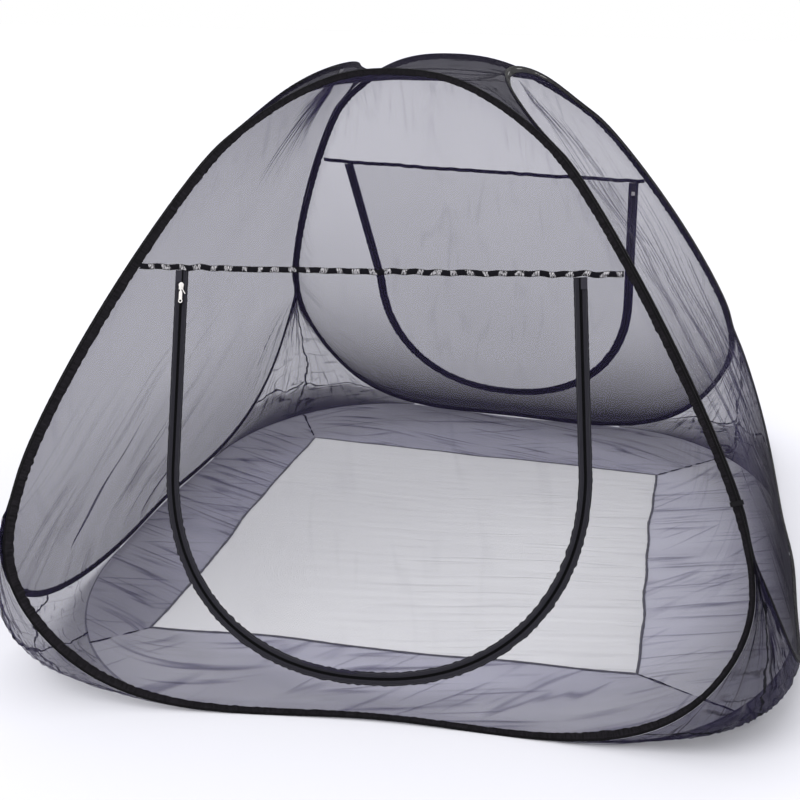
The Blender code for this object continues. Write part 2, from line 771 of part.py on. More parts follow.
def add_floor(loops, net_finish, panel_finish, hem_finish):
    """The floor: four netting strips mitred at the corners, the panel and the hem round it."""
    front, back, left, right = loops
    mid = FLOOR_THICKNESS / 2
    flat = range(-GROUND, GROUND + 1)
    sides = {
        "front": [floor_edge(front, index % STATIONS) for index in flat],
        "right": [floor_edge(right, -index % STATIONS) for index in flat],
        "back": [floor_edge(back, -index % STATIONS) for index in flat],
        "left": [floor_edge(left, index % STATIONS) for index in flat],
    }
    shares = [step / CORNER_SEGMENTS for step in range(CORNER_SEGMENTS + 1)]
    arcs = {
        "front_right": corner_arc(sides["front"][-1], sides["right"][0], shares),
        "back_right": corner_arc(sides["back"][0], sides["right"][-1], shares)[::-1],
        "back_left": corner_arc(sides["back"][-1], sides["left"][0], shares),
        "front_left": corner_arc(sides["front"][0], sides["left"][-1], shares)[::-1],
    }
    half = CORNER_SEGMENTS // 2
    order = ("front", "right", "back", "left")
    turns = ("front_left", "front_right", "back_right", "back_left")
    corners = [corner + (0.0, 0.0, mid) for corner in panel_corners(CLEARANCE)]
    for number, side in enumerate(order):
        before, after = arcs[turns[number]], arcs[turns[(number + 1) % len(turns)]]
        outer = before[half:-1] + sides[side] + after[1 : half + 1]
        start, end = corners[number], corners[(number + 1) % len(corners)]
        columns = len(outer) - 1
        inner = [between(start, end, column / columns) for column in range(columns + 1)]
        for row in (outer, inner):
            row[0] = row[0] + CLEARANCE * unit(row[1] - row[0])
            row[-1] = row[-1] + CLEARANCE * unit(row[-2] - row[-1])
        rows = [
            [between(out, within, step / STRIP_ROWS) for out, within in zip(outer, inner)]
            for step in range(STRIP_ROWS + 1)
        ]
        add_object(f"floor_net_{side}", *row_sheet(rows), net_finish, FLOOR_THICKNESS)
    panel = [corner + (0.0, 0.0, mid) for corner in panel_corners()]
    add_object("floor_panel", panel, [(0, 1, 2, 3)], panel_finish, FLOOR_THICKNESS)
    low = FLOOR_THICKNESS + CLEARANCE
    sections = np.stack(
        [
            np.array(panel_corners(reach)) + (0.0, 0.0, height)
            for reach, height in (
                (-HEM_WIDTH / 2, low),
                (HEM_WIDTH / 2, low),
                (HEM_WIDTH / 2, low + HEM_THICKNESS),
                (-HEM_WIDTH / 2, low + HEM_THICKNESS),
            )
        ],
        axis=1,
    )
    add_object("floor_hem", *skin(sections, True), hem_finish)


def add_ribbon(name, wall, finish, holder):
    """The ribbon over the top of a door, with its ends cut along the binding."""
    corners = [
        (wall.lip(side, down) - side * EDGE_CLEARANCE, down)
        for side, down in ((-1, 0.0), (1, 0.0), (1, -RIBBON_WIDTH), (-1, -RIBBON_WIDTH))
    ]
    wall.slab(name, corners, RIBBON_LOW, RIBBON_LOW + RIBBON_THICKNESS, finish, holder)


def add_zip(name, wall, tape_finish, coil_finish, frame, door):
    """The two halves of a door's zip, and the tabs that close its ends."""
    tape, coil = (TAPE_INNER, TAPE_OUTER), (COIL_GAP, COIL_GAP + COIL_WIDTH)
    flat, round_rise = (TAPE_LOW, TAPE_HIGH), (COIL_LOW, COIL_HIGH)
    wall_tops = (SLIDER_BOTTOM + EDGE_CLEARANCE, TAPE_TOP_GAP)
    flap_tops = (TAPE_TOP_GAP, TAPE_TOP_GAP)
    wall.strip(f"{name}_wall_tape", tape, flat, wall_tops, tape_finish, frame)
    wall.strip(f"{name}_wall_coil", coil, round_rise, wall_tops, coil_finish, frame)
    tape, coil = [(-far, -near) for near, far in (tape, coil)]
    wall.strip(f"{name}_flap_tape", tape, flat, flap_tops, tape_finish, door)
    wall.strip(f"{name}_flap_coil", coil, round_rise, flap_tops, coil_finish, door)
    for side, word, low in ((-1, "left", TAPE_LOW), (1, "right", COIL_HIGH + CLEARANCE)):
        top, bottom = TAPE_TOP_GAP, TAPE_TOP_GAP + END_TAB_LENGTH
        near, far = side * COIL_GAP, side * TAPE_OUTER
        corners = [
            (wall.leg(side, top) + near, top),
            (wall.leg(side, top) + far, top),
            (wall.leg(side, bottom) + far, bottom),
            (wall.leg(side, bottom) + near, bottom),
        ]
        high = low + END_TAB_THICKNESS
        wall.slab(f"{name}_{word}_end_tab", corners, low, high, tape_finish, frame)


def add_slider(name, wall, finish, holder):
    """A zip slider: two plates with turned edges, the bridge between them and the bail on top."""
    centre = wall.leg(-1, SLIDER_MIDDLE)
    edge, turn = SLIDER_HALF_WIDTH, SLIDER_HALF_WIDTH - SLIDER_FLANGE
    bridge = SLIDER_BRIDGE / 2
    quarter = [
        (edge, SLIDER_LOW - SLIDER_PLATE),
        (edge, SLIDER_LOW + SLIDER_LIP),
        (turn, SLIDER_LOW + SLIDER_LIP),
        (turn, SLIDER_LOW),
        (bridge, SLIDER_LOW),
        (bridge, SLIDER_HIGH),
        (turn, SLIDER_HIGH),
        (turn, SLIDER_HIGH - SLIDER_LIP),
        (edge, SLIDER_HIGH - SLIDER_LIP),
        (edge, SLIDER_HIGH + SLIDER_PLATE),
    ]
    outline = quarter + [(-across, out) for across, out in quarter[::-1]]
    sections = np.array(
        [
            [wall.place(centre + across, down, out) for across, out in outline]
            for down in (SLIDER_TOP, SLIDER_BOTTOM)
        ]
    )
    body = add_object(name, *skin(sections, False), finish, holder=holder)
    base = SLIDER_HIGH + SLIDER_PLATE
    crown = base + BAIL_RISE
    end, inner = BAIL_LENGTH / 2, BAIL_LENGTH / 2 - BAIL_THICKNESS
    arch = [
        (-end, base - BAIL_SINK),
        (-end, crown + BAIL_THICKNESS),
        (end, crown + BAIL_THICKNESS),
        (end, base - BAIL_SINK),
        (inner, base - BAIL_SINK),
        (inner, crown),
        (-inner, crown),
        (-inner, base - BAIL_SINK),
    ]
    sections = np.array(
        [
            [wall.place(centre + across, SLIDER_MIDDLE + down, out) for down, out in arch]
            for across in (-BAIL_WIDTH / 2, BAIL_WIDTH / 2)
        ]
    )
    bail = add_object(f"{name}_bail_cutter", *skin(sections, False), finish, holder=holder)
    bail.hide_render = True
    bail.display_type = "WIRE"
    union = body.modifiers.new("Bail", "BOOLEAN")
    union.operation = "UNION"
    union.object = bail


def add_pull(name, wall, finish, holder):
    """The pull that hangs in a slider's bail: a plate with an eye at its top and a window."""
    centre = wall.leg(-1, SLIDER_MIDDLE)
    half = PULL_WIDTH / 2
    columns = (-half, PULL_ARM - half, half - PULL_ARM, half)
    rows = [SLIDER_MIDDLE - BAR_THICKNESS / 2]
    for length in (BAR_THICKNESS, PULL_NECK, PULL_SHOULDER, PULL_WINDOW, PULL_FOOT):
        rows.append(rows[-1] + length)
    vertices = [wall.place(centre + across, down, PULL_OUT) for down in rows for across in columns]
    faces = []
    for row in range(len(rows) - 1):
        for column in range(len(columns) - 1):
            if column == 1 and row % 2 == 1:
                continue
            first = row * len(columns) + column
            below = first + len(columns)
            faces.append((first, first + 1, below + 1, below))
    add_object(name, vertices, faces, finish, BAR_THICKNESS, holder)


def add_tie_tab(loop, finish):
    """The tie tab across the front binding, above the join at the right leg."""
    first = station(JOIN + 1, 1)
    ahead = loop.wire[first + 1] - loop.wire[first]
    centre = loop.wire[first] + ahead / 2
    along, inward = unit(ahead), loop.inward[first]
    normal = unit(np.cross(along, inward))
    normal *= np.sign(np.dot(loop.normal[first], normal))
    low = BEAD_REACH + EDGE_CLEARANCE
    sections = np.array(
        [
            [
                centre + height * normal + run * TAB_WIDTH / 2 * along + reach * TAB_LENGTH / 2 * inward
                for run, reach in ((-1, -1), (1, -1), (1, 1), (-1, 1))
            ]
            for height in (low, low + TAB_THICKNESS)
        ]
    )
    add_object("tie_tab", *skin(sections, False), finish)


def add_door(name, wall, finishes, frame):
    """A door: its ribbon and zip, and the flap that hangs on the ribbon."""
    hinge = wall.place(0.0, HINGE_DROP, HINGE_OUT)
    door = add_axis(f"{name}_door_axis", hinge, wall.across, frame)
    centre = wall.leg(-1, SLIDER_MIDDLE)
    slide = add_axis(f"{name}_slide_axis", wall.place(centre, SLIDER_MIDDLE), wall.down, door)
    swing = add_axis(
        f"{name}_pull_axis", wall.place(centre, SLIDER_MIDDLE, PULL_OUT), wall.across, slide
    )
    add_ribbon(f"{name}_ribbon", wall, finishes["ribbon"], frame)
    add_zip(name, wall, finishes["tape"], finishes["coil"], frame, door)
    add_flap(f"{name}_flap_net", wall, finishes["net"], door)
    add_slider(f"{name}_slider", wall, finishes["metal"], slide)
    add_pull(f"{name}_pull", wall, finishes["metal"], swing)


def seam_axis(name, loop, side, other, other_side, outset, holder=None):
    """An empty along the corner seam of two loops, set off the seam's chord outwards."""
    low, high = loop.base[station(JOIN, side)], loop.base[station(PART, side)]
    pairs = [(station(run, side), station(run, other_side)) for run in range(JOIN, PART + 1)]
    outwards = -unit(sum(loop.inward[one] + other.inward[two] for one, two in pairs))
    return add_axis(name, (low + high) / 2 + outset * outwards, unit(high - low), holder)


def centre_parts():
    """Move the whole part sideways until it stands centred on the origin."""
    bpy.context.view_layer.update()
    graph = bpy.context.evaluated_depsgraph_get()
    places = []
    for item in bpy.data.objects:
        if item.type == "MESH" and not item.hide_render:
            mesh = item.evaluated_get(graph).data
            places += [item.matrix_world @ vertex.co for vertex in mesh.vertices]
    places = np.array([tuple(place) for place in places])
    middle = (places.min(axis=0) + places.max(axis=0)) / 2
    for item in bpy.data.objects:
        if item.parent is None:
            item.location.x -= middle[0]
            item.location.y -= middle[1]


def main():
    """Build the tent."""
    for item in list(bpy.data.objects):
        bpy.data.objects.remove(item, do_unlink=True)
    finishes = {
        "wire": material("spring_steel", (0.25, 0.25, 0.26), 0.35, 1.0),
        "binding": material("black_binding", (0.012, 0.012, 0.014), 0.85),
        "net": material("black_netting", (0.09, 0.085, 0.11), 0.9),
        "roof": material("roof_netting", (0.06, 0.06, 0.075), 0.9),
        "panel": material("white_panel", (0.72, 0.72, 0.75), 0.85),
        "hem": material("black_hem", (0.03, 0.03, 0.035), 0.85),
        "tape": material("black_zip_tape", (0.02, 0.02, 0.023), 0.8),
        "coil": material("black_zip_coil", (0.03, 0.03, 0.032), 0.45),
        "metal": material("bright_zip_metal", (0.6, 0.6, 0.62), 0.28, 1.0),
        "ribbon": material("patterned_ribbon", (0.05, 0.05, 0.055), 0.7),
    }
    front = door_loop("front", -1, *FRONT_RIBBON_SHARES)
    back = door_loop("back", 1, *BACK_RIBBON_SHARES)
    left = side_loop("left", -1, front, back)
    right = side_loop("right", 1, front, back)
    loops = (front, back, left, right)
    lowest = min(loop.section_line(BINDING_PROFILE)[..., 2].min() for loop in loops)
    for loop in loops:
        loop.base[:, 2] -= lowest

    left_frame = seam_axis("left_fold_axis", front, -1, left, 1, CLOSING_AXIS_OUTSET)
    right_frame = seam_axis("right_fold_axis", front, 1, right, 1, OPENING_AXIS_OUTSET)
    back_frame = seam_axis(
        "back_fold_axis", back, 1, right, -1, CLOSING_AXIS_OUTSET, right_frame
    )
    holders = {"front": None, "back": back_frame, "left": left_frame, "right": right_frame}
    for loop in loops:
        add_wire(loop, finishes["wire"], holders[loop.name])
        add_binding(loop, finishes["binding"], holders[loop.name])
    for loop, outer_left, shares in ((front, -1, FRONT_DOOR_SHARES), (back, 1, BACK_DOOR_SHARES)):
        wall = DoorWall(loop, outer_left, shares)
        holder = holders[loop.name]
        add_door_wall(f"{loop.name}_wall_net", wall, finishes["net"], holder)
        add_door(loop.name, wall, finishes, holder)
    for loop in (left, right):
        add_side_wall(f"{loop.name}_wall_net", loop, finishes["net"], holders[loop.name])
    add_roof(loops, finishes["roof"])
    for door, y_sign in ((front, -1), (back, 1)):
        for side, x_sign in ((left, -1), (right, 1)):
            name = f"gusset_{door.name}_{side.name}"
            add_gusset(name, door, x_sign, side, y_sign, finishes["net"])
    add_floor(loops, finishes["net"], finishes["panel"], finishes["hem"])
    add_tie_tab(front, finishes["binding"])
    centre_parts()


main()
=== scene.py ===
"""Pop-up mosquito net tent: its cloth, trim, metal and light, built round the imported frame."""

import logging
import math
from abc import ABC, abstractmethod
from dataclasses import dataclass
from enum import Enum
from typing import Any, Callable, Iterable, Optional, Sequence

import bmesh
import bpy
import numpy as np
from mathutils import Matrix, Vector


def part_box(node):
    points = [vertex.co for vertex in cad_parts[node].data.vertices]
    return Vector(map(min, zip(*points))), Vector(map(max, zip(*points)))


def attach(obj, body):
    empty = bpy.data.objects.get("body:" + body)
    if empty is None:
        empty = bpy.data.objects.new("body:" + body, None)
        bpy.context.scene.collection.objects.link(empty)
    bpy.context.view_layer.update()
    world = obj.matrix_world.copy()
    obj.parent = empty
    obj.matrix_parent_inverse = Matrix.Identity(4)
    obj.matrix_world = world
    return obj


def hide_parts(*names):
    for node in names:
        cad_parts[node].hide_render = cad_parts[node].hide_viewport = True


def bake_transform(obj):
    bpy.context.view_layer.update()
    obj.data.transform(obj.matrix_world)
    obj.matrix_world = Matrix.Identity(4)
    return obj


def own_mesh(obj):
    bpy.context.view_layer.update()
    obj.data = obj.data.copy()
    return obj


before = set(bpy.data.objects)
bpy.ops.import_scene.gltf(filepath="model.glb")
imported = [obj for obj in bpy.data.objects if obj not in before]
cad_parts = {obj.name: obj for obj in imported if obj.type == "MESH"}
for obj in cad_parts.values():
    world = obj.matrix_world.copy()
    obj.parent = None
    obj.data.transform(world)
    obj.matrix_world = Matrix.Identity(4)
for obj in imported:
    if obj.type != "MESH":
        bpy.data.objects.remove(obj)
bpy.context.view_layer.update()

LOG = logging.getLogger("net_tent")
Points = np.ndarray
Pair = tuple[Points, Points]
Colour = tuple[float, float, float]
Material = bpy.types.Material
Piece = bpy.types.Object

# The frame's own sizes as the solids have them: lengths in metres, and shares of them.
BASE_WIDTH, BASE_LENGTH, LOOP_HEIGHT = 2.0, 2.3, 1.43
ROOF_SHIFT_X, ROOF_SHIFT_Y = -0.14, -0.054
SIDE_TAPER_SHARE = 0.074
DOOR_LOOP_SHARES = (
    (0.0, 0.993, 0.0), (0.41, 1.013, 0.0), (0.682, 1.03, 0.065), (0.843, 1.0, 0.222),
    (0.849, 0.936, 0.319), (0.793, 0.842, 0.446), (0.463, 0.498, 0.843), (0.382, 0.437, 0.899),
    (0.162, 0.347, 0.985), (0.0, 0.333, 1.0),
)
SIDE_FOOT_SHARES = ((0.999, 0.0, 0.0), (0.988, 0.317, 0.0), (0.944, 0.851, 0.12), (0.871, 0.945, 0.278))
SIDE_TIP_SHARES = ((0.305, 0.344, 0.95), (0.233, 0.0, 0.991))
DOOR_HUB_SHARES = (0.0, 0.74, 0.42)
SIDE_HUB_SHARES = (0.76, 0.0, 0.42)
KNOT_POWER, HALVINGS, MEASURED_STEPS = 0.75, 40, 40
FLOOR_KNOT, JOIN_KNOT, PART_KNOT, TOP_KNOT = 1, 4, 7, 9
RIBBON_SEARCH = (5, 7)
HALF_COUNTS = (2, 8, 4, 3, 4)
GROUND, JOIN, RIBBON, PART, TOP = np.cumsum(HALF_COUNTS).tolist()
STATIONS = 2 * TOP
RIBBON_SHARES = {"front": (0.673, 0.697), "back": (0.723, 0.709)}
BOTTOM_POWER = 2.2
BINDING_WIDTH = 0.020
BEAD_REACH = 0.0032 + 0.0008 * math.sqrt(2)
SEAM_OFFSET = 1.3 * BEAD_REACH
WIRE_RADIUS = 0.0012
NET_TUCK = 0.011
NET_EDGE = BEAD_REACH + 0.0007
NET_SETBACK = 0.008
TAPE_OUTER = 0.016
COIL_REACH = 0.0031
RIBBON_WIDTH = 0.014
FLAP_TOP_GAP, TAPE_TOP_GAP = 0.001, 0.003
SLIDER_TOP, SLIDER_MIDDLE, SLIDER_BOTTOM = 0.036, 0.043, 0.05
SLIDER_LOW, SLIDER_HIGH = -0.0004, 0.0028
SLIDER_HALF_WIDTH, SLIDER_PLATE = 0.0055, 0.0012
PULL_OUT, PULL_LENGTH, PULL_THICK, PULL_FOOT = 0.00515, 0.04, 0.0013, 0.0052
PANEL_CENTRE = (-0.06, -0.07)
PANEL_WIDTH, PANEL_LENGTH = 1.27, 1.47
HEM_WIDTH = 0.007
FLOOR_EDGE_SHARE = 0.55
FLOOR_RISE = 0.001
ROOF_SAG = 0.012

# How the cloth and the trim are drawn: lengths in metres, turns in degrees.
NET_LANDING, DOOR_LANDING, SIDE_LANDING, ARC_INSET = 0.004, 0.011, 0.003, 0.004
SLIDER_CLEARANCE, METAL_EDGE, DISC_SIDES = 0.0008, 0.0003, 40
WALL_COIL_TOP = SLIDER_BOTTOM + 0.0007
TAPE_WAVER, TAPE_SWELL, TAPE_RATES = 0.0011, 0.0004, (20, 170)
SLEEVE_WIDTHS = {"front": 0.021, "back": 0.015, "left": 0.014, "right": 0.017}
FRONT_SLEEVE_SHARES = (
    (0.0, 0.5), (1.6, 0.6), (3.0, 0.85), (4.2, 0.7), (5.5, 0.45), (9.5, 0.45), (12.0, 0.65), (15.5, 0.7),
    (18.0, 0.6), (24.0, 0.65), (28.0, 0.95), (37.0, 1.0), (39.5, 0.7), (42.0, 0.5),
)
EVEN_SLEEVE_SHARES = ((0.0, 1.0), (STATIONS, 1.0))
BINDING_LIP = ((1.0, 1.0, 0.7), (0.75, 1.2, 1.0), (0.5, 1.5, 0.8))
BINDING_HALF = 0.0013
BEAD_TURNS, BEAD_START, BEAD_SWEEP, BEAD_LOOSE = 8, 50, 260, 0.15
PANEL_SWAY, PANEL_WAVES, PANEL_SEED = 0.012, (1, 2, 3, 5, 7, 11), 60
RIBBON_SAG, RIBBON_SAG_POWER, RIBBON_SWAY = 0.005, 0.4, 0.0013
RIBBON_OUT, RIBBON_LIFT, RIBBON_GAP = 0.0014, 0.0005, 0.001
CORNER_COVERS = {"front_left": 0.26, "front_right": 0.59, "back_left": 0.45, "back_right": 0.4}
FLOOR_COVERS = {"front": 0.13, "right": 0.04, "back": 0.18, "left": 0.21}
WALL_EDGE_COVER, WALL_FOOT_COVER = 0.08, 0.05
FLAP_LOW_SHARE, FLAP_SHARE = 0.23, 0.14
FLOOR_TURNS = {"front": 14, "right": 104, "back": 166, "left": 76}
LOW_SEAM_SHARE = 0.68
NOTCH_COVER, BELOW_SEAM_COVER = 0.3, 0.26
ZIGZAG_PITCH, ZIGZAG_HEIGHT = 0.09, 0.03
LOW_COVER_TOP = 0.45
HEM_WAVER = 0.18
# The light layer's lines become painted highlights on the netting.
PULL_LAYERS = (("dark", 20.0), ("dark", 30.0), ("light", 16.0))
SWELLS, SWELL_RATES = 16, (3, 26)
FOLD_WAVES, FOLD_RATES, FOLD_HEIGHT = 7, (2.0, 9.0), 0.9
RUN_START, FAN_CORE, FAN_RATE = 40, 0.02, 2.2
EDGE_FADE = 0.05
ZIP_POINTS, LEG_POINTS, BOW_POINTS, LIP_POINTS = 420, 60, 400, 80
FLAP_GRID, RIBBON_POINTS, COIL_SIDES = (120, 110), 500, 10
SIDE_COARSE, SIDE_ROUNDS, ROOF_ROUNDS, CORNER_ROUNDS, REFINE_ROUNDS = (43, 21), 700, 3500, 60, 12
FLOOR_FINE, STRIP_ROWS, PANEL_GRID, HEM_POINTS, CORNER_GRID = 24, 60, 180, 160, (110, 60)

# The photograph's camera: place, turn, tilt and roll in degrees, and focal length in pixels.
FRAME_PIXELS = 800
CAMERA_PLACE = (0.6006, -3.6798, 1.638)
CAMERA_TURNS = (12.436, 18.0, 0.834)
CAMERA_FOCAL = 1285.0
SENSOR_MM = 36.0

# The stage: turns in degrees and sizes in metres, with the spread of the floor's painted light under the
# tent.
SUN_WIDTH, SUN_TILT, SUN_TURN = 35, 38, -32
STAGE_SIZE, STAGE_DEPTH = 80.0, -0.0004
STAGE_REACH, STAGE_START, STAGE_SLOPE = (0.95, 1.1), 0.72, 3.2


def unit(vectors: Any) -> Points:
    """Return vectors of length one along the given ones."""
    vectors = np.asarray(vectors, dtype=float)
    return vectors / np.maximum(np.linalg.norm(vectors, axis=-1, keepdims=True), 1e-12)


def between(start: Any, end: Any, share: Any) -> Any:
    """Return what lies at a share of the way from start to end."""
    return start + (end - start) * share


def run_lengths(points: Points) -> Points:
    """Return how far along a run of points each one is."""
    return np.concatenate([[0.0], np.cumsum(np.linalg.norm(np.diff(points, axis=0), axis=1))])


def resampled(points: Points, places: Points, known: Points) -> Points:
    """Return a run of points read at new places, from the places of its own points."""
    return np.stack([np.interp(places, known, column) for column in points.T], axis=1)


def scaled(shares: Sequence[float], x_sign: float, y_sign: float) -> Points:
    """Return a point of the pitched net from its shares, in the quarter the signs pick."""
    x, y, z = np.array(shares) * (BASE_WIDTH / 2 * x_sign, BASE_LENGTH / 2 * y_sign, LOOP_HEIGHT)
    rise = z / LOOP_HEIGHT
    return np.array((x + ROOF_SHIFT_X * rise, y * side_taper(x) + ROOF_SHIFT_Y * rise, z))


def side_taper(x: float) -> float:
    """Return how much longer or shorter the net is at a place across it."""
    return 1 - SIDE_TAPER_SHARE * x / (BASE_WIDTH / 2)


class ClosedCurve:
    """A smooth closed curve through control points, read at knot numbers."""

    def __init__(self, controls: Sequence[Points]) -> None:
        """Solve the curve's bends.

        Args:
            controls: The points it passes through, in order.
        """
        self.controls = np.array(controls)
        ahead = np.roll(self.controls, -1, axis=0)
        self.steps = np.linalg.norm(ahead - self.controls, axis=1) ** KNOT_POWER
        count = len(self.controls)
        slopes = (ahead - self.controls) / self.steps[:, None]
        system = np.zeros((count, count))
        for knot in range(count):
            before, here = self.steps[knot - 1], self.steps[knot]
            system[knot, knot - 1] += before
            system[knot, knot] += 2 * (before + here)
            system[knot, (knot + 1) % count] += here
        self.bends = np.linalg.solve(system, 6 * (slopes - np.roll(slopes, 1, axis=0)))

    def at(self, knots: Any) -> Points:
        """Return the curve's points at knot numbers, which may lie between knots."""
        knots = np.asarray(knots, dtype=float)
        whole = np.floor(knots)
        first = whole.astype(int) % len(self.controls)
        after = (first + 1) % len(self.controls)
        share = (knots - whole)[..., None]
        left = 1 - share
        bend = (left**3 - left) * self.bends[first] + (share**3 - share) * self.bends[after]
        straight = left * self.controls[first] + share * self.controls[after]
        return straight + bend * self.steps[first][..., None] ** 2 / 6

    def knot_at_height(self, height: float, low: float, high: float) -> float:
        """Return the knot number between two others where the curve passes a height."""
        rising = self.at(high)[2] > self.at(low)[2]
        for _ in range(HALVINGS):
            middle = (low + high) / 2
            if (self.at(middle)[2] < height) == rising:
                low = middle
            else:
                high = middle
        return (low + high) / 2


class Loop:
    """One sprung loop of the frame, read at station numbers that run round it."""

    def __init__(
        self, name: str, curve: ClosedCurve, knots: Sequence[float], hub: Points, outward: int
    ) -> None:
        """Keep the curve and the run of its stations.

        Args:
            name: The loop's name.
            curve: The curve it follows.
            knots: The knot number at each station.
            hub: The point its band faces.
            outward: The sign that turns its normal out of the tent.
        """
        self.name, self.curve, self.hub, self.outward = name, curve, hub, outward
        self.knots = np.array([*knots, len(curve.controls)])
        self.shift = np.zeros(3)

    def base(self, stations: Any) -> Points:
        """Return the seam line's points at station numbers."""
        stations = np.mod(np.asarray(stations, dtype=float), STATIONS)
        return self.curve.at(np.interp(stations, np.arange(STATIONS + 1), self.knots)) + self.shift

    def axes(self, stations: Any) -> tuple[Points, Points, Points]:
        """Return the directions along, into and out of the loop at station numbers."""
        stations = np.asarray(stations, dtype=float)
        reach = 0.02
        along = unit(self.base(stations + reach) - self.base(stations - reach))
        toward = self.hub + self.shift - self.base(stations)
        toward = toward - np.sum(toward * along, axis=-1, keepdims=True) * along
        inward = unit(toward)
        return along, inward, np.cross(along, inward) * self.outward

    def offset(self, stations: Any, inward: float) -> Points:
        """Return points at a distance into the loop from the wire."""
        return self.base(stations) + (SEAM_OFFSET + np.asarray(inward)[..., None]) * self.axes(stations)[1]

    def even_stations(self, step: float) -> Points:
        """Return station numbers spaced evenly by length round the loop."""
        fine = np.linspace(0, STATIONS, MEASURED_STEPS * STATIONS + 1)
        run = run_lengths(self.base(fine))
        count = max(8, int(round(run[-1] / step)))
        return np.interp(np.arange(count) / count * run[-1], run, fine)


def run_of_knots(keys: Sequence[float], counts: Sequence[int]) -> list[float]:
    """Return knot numbers from the first key to the last, even between neighbours."""
    knots = [float(keys[0])]
    for low, high, count in zip(keys, keys[1:], counts):
        knots += [low + (high - low) * step / count for step in range(1, count + 1)]
    return knots


def door_loop(name: str, y_sign: int) -> Loop:
    """Return the front or back loop, with a station at each ribbon end."""
    right = [scaled(row, 1, y_sign) for row in DOOR_LOOP_SHARES]
    left = [scaled(row, -1, y_sign) for row in DOOR_LOOP_SHARES[-2:0:-1]]
    curve = ClosedCurve(right + left)
    count = len(right + left)
    low, high = RIBBON_SEARCH
    left_share, right_share = RIBBON_SHARES[name]
    halves = []
    for share, ends in ((right_share, (low, high)), (left_share, (-low, -high))):
        reach = [count + end if end < 0 else end for end in ends]
        found = curve.knot_at_height(share * LOOP_HEIGHT, *reach)
        ribbon = found if ends[0] > 0 else count - found
        halves.append(run_of_knots((0, FLOOR_KNOT, JOIN_KNOT, ribbon, PART_KNOT, TOP_KNOT), HALF_COUNTS))
    knots = halves[0] + [count - knot for knot in halves[1][-2:0:-1]]
    return Loop(name, curve, knots, scaled(DOOR_HUB_SHARES, 1, y_sign), -y_sign)


def side_loop(name: str, x_sign: int, front: Loop, back: Loop) -> Loop:
    """Return the left or right loop, sewn to the front and back loops along the seams."""
    seam = np.arange(JOIN, PART + 1)
    seam = seam if x_sign > 0 else STATIONS - seam
    front_seam, back_seam = list(front.base(seam)), list(back.base(seam))
    feet = [scaled(row, x_sign, -1) for row in SIDE_FOOT_SHARES]
    tips = [scaled(row, x_sign, -1) for row in SIDE_TIP_SHARES]
    back_tip = scaled(SIDE_TIP_SHARES[0], x_sign, 1)
    back_feet = [scaled(row, x_sign, 1) for row in SIDE_FOOT_SHARES[:0:-1]]
    controls = feet + front_seam + tips + [back_tip] + back_seam[::-1] + back_feet
    join = len(feet)
    part = join + len(front_seam) - 1
    keys = (0, FLOOR_KNOT, join, part, part + len(tips))
    half = run_of_knots(keys, (HALF_COUNTS[0], HALF_COUNTS[1], PART - JOIN, HALF_COUNTS[4]))
    knots = half + [len(controls) - knot for knot in half[-2:0:-1]]
    return Loop(name, ClosedCurve(controls), knots, scaled(SIDE_HUB_SHARES, x_sign, 1), -x_sign)


def frame_loops() -> dict[str, Loop]:
    """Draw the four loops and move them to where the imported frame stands."""
    front, back = door_loop("front", -1), door_loop("back", 1)
    loops = {"front": front, "back": back}
    for name, x_sign in (("left", -1), ("right", 1)):
        loops[name] = side_loop(name, x_sign, front, back)
    low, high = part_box("floor_panel")
    sideways = [(low[axis] + high[axis]) / 2 - PANEL_CENTRE[axis] for axis in (0, 1)]
    drawn = front.offset(np.arange(STATIONS), 0.0)[:, 2].min()
    shift = np.array((*sideways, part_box("front_wire")[0][2] + WIRE_RADIUS - drawn))
    for loop in loops.values():
        loop.shift = shift
    return loops


def shader_maths(operation: str, turned: bool = False) -> Callable[..., "Signal"]:
    """Return a method that passes its object and a value through a Math node.

    Args:
        operation: The node's operation.
        turned: Whether the value comes before the object.

    Returns:
        The method.
    """

    def method(self: "Signal", *others: Any) -> "Signal":
        """Return the Math node's result."""
        node = self.tree.nodes.new("ShaderNodeMath")
        node.operation = operation
        values = (*others, self) if turned else (self, *others)
        for slot, value in zip(node.inputs, values):
            connect(self.tree, value, slot)
        return Signal(self.tree, node.outputs[0])

    return method


class Signal:
    """A shader socket that takes part in Python arithmetic."""

    def __init__(self, tree: bpy.types.NodeTree, socket: bpy.types.NodeSocket) -> None:
        """Wrap a socket of a node tree."""
        self.tree = tree
        self.socket = socket

    __add__ = __radd__ = shader_maths("ADD")
    __sub__ = shader_maths("SUBTRACT")
    __rsub__ = shader_maths("SUBTRACT", turned=True)
    __mul__ = __rmul__ = shader_maths("MULTIPLY")
    wave = shader_maths("SINE")
    size = shader_maths("ABSOLUTE")
    part = shader_maths("FRACT")
    power = shader_maths("POWER")
    above = shader_maths("GREATER_THAN")
    at_most = shader_maths("MINIMUM")
    at_least = shader_maths("MAXIMUM")

    def held(self) -> "Signal":
        """Return the value held between 0 and 1."""
        return self.at_least(0.0).at_most(1.0)

    def waves(self, pitch: float) -> "Signal":
        """Return a sine wave that repeats at a pitch."""
        return (self * (math.tau / pitch)).wave()

    def within(self, reach: float) -> "Signal":
        """Return how far from zero the value is, as a share of a reach and at most 1."""
        return (self.size() * (1 / reach)).at_most(1.0)

    def split(self) -> tuple["Signal", "Signal"]:
        """Return the first two parts of a vector."""
        parts = self.tree.nodes.new("ShaderNodeSeparateXYZ")
        connect(self.tree, self, parts.inputs[0])
        return Signal(self.tree, parts.outputs[0]), Signal(self.tree, parts.outputs[1])


def connect(tree: bpy.types.NodeTree, value: Any, slot: bpy.types.NodeSocket) -> None:
    """Link a signal to a socket, or write a plain value on it."""
    if isinstance(value, Signal):
        tree.links.new(value.socket, slot)
    else:
        slot.default_value = value


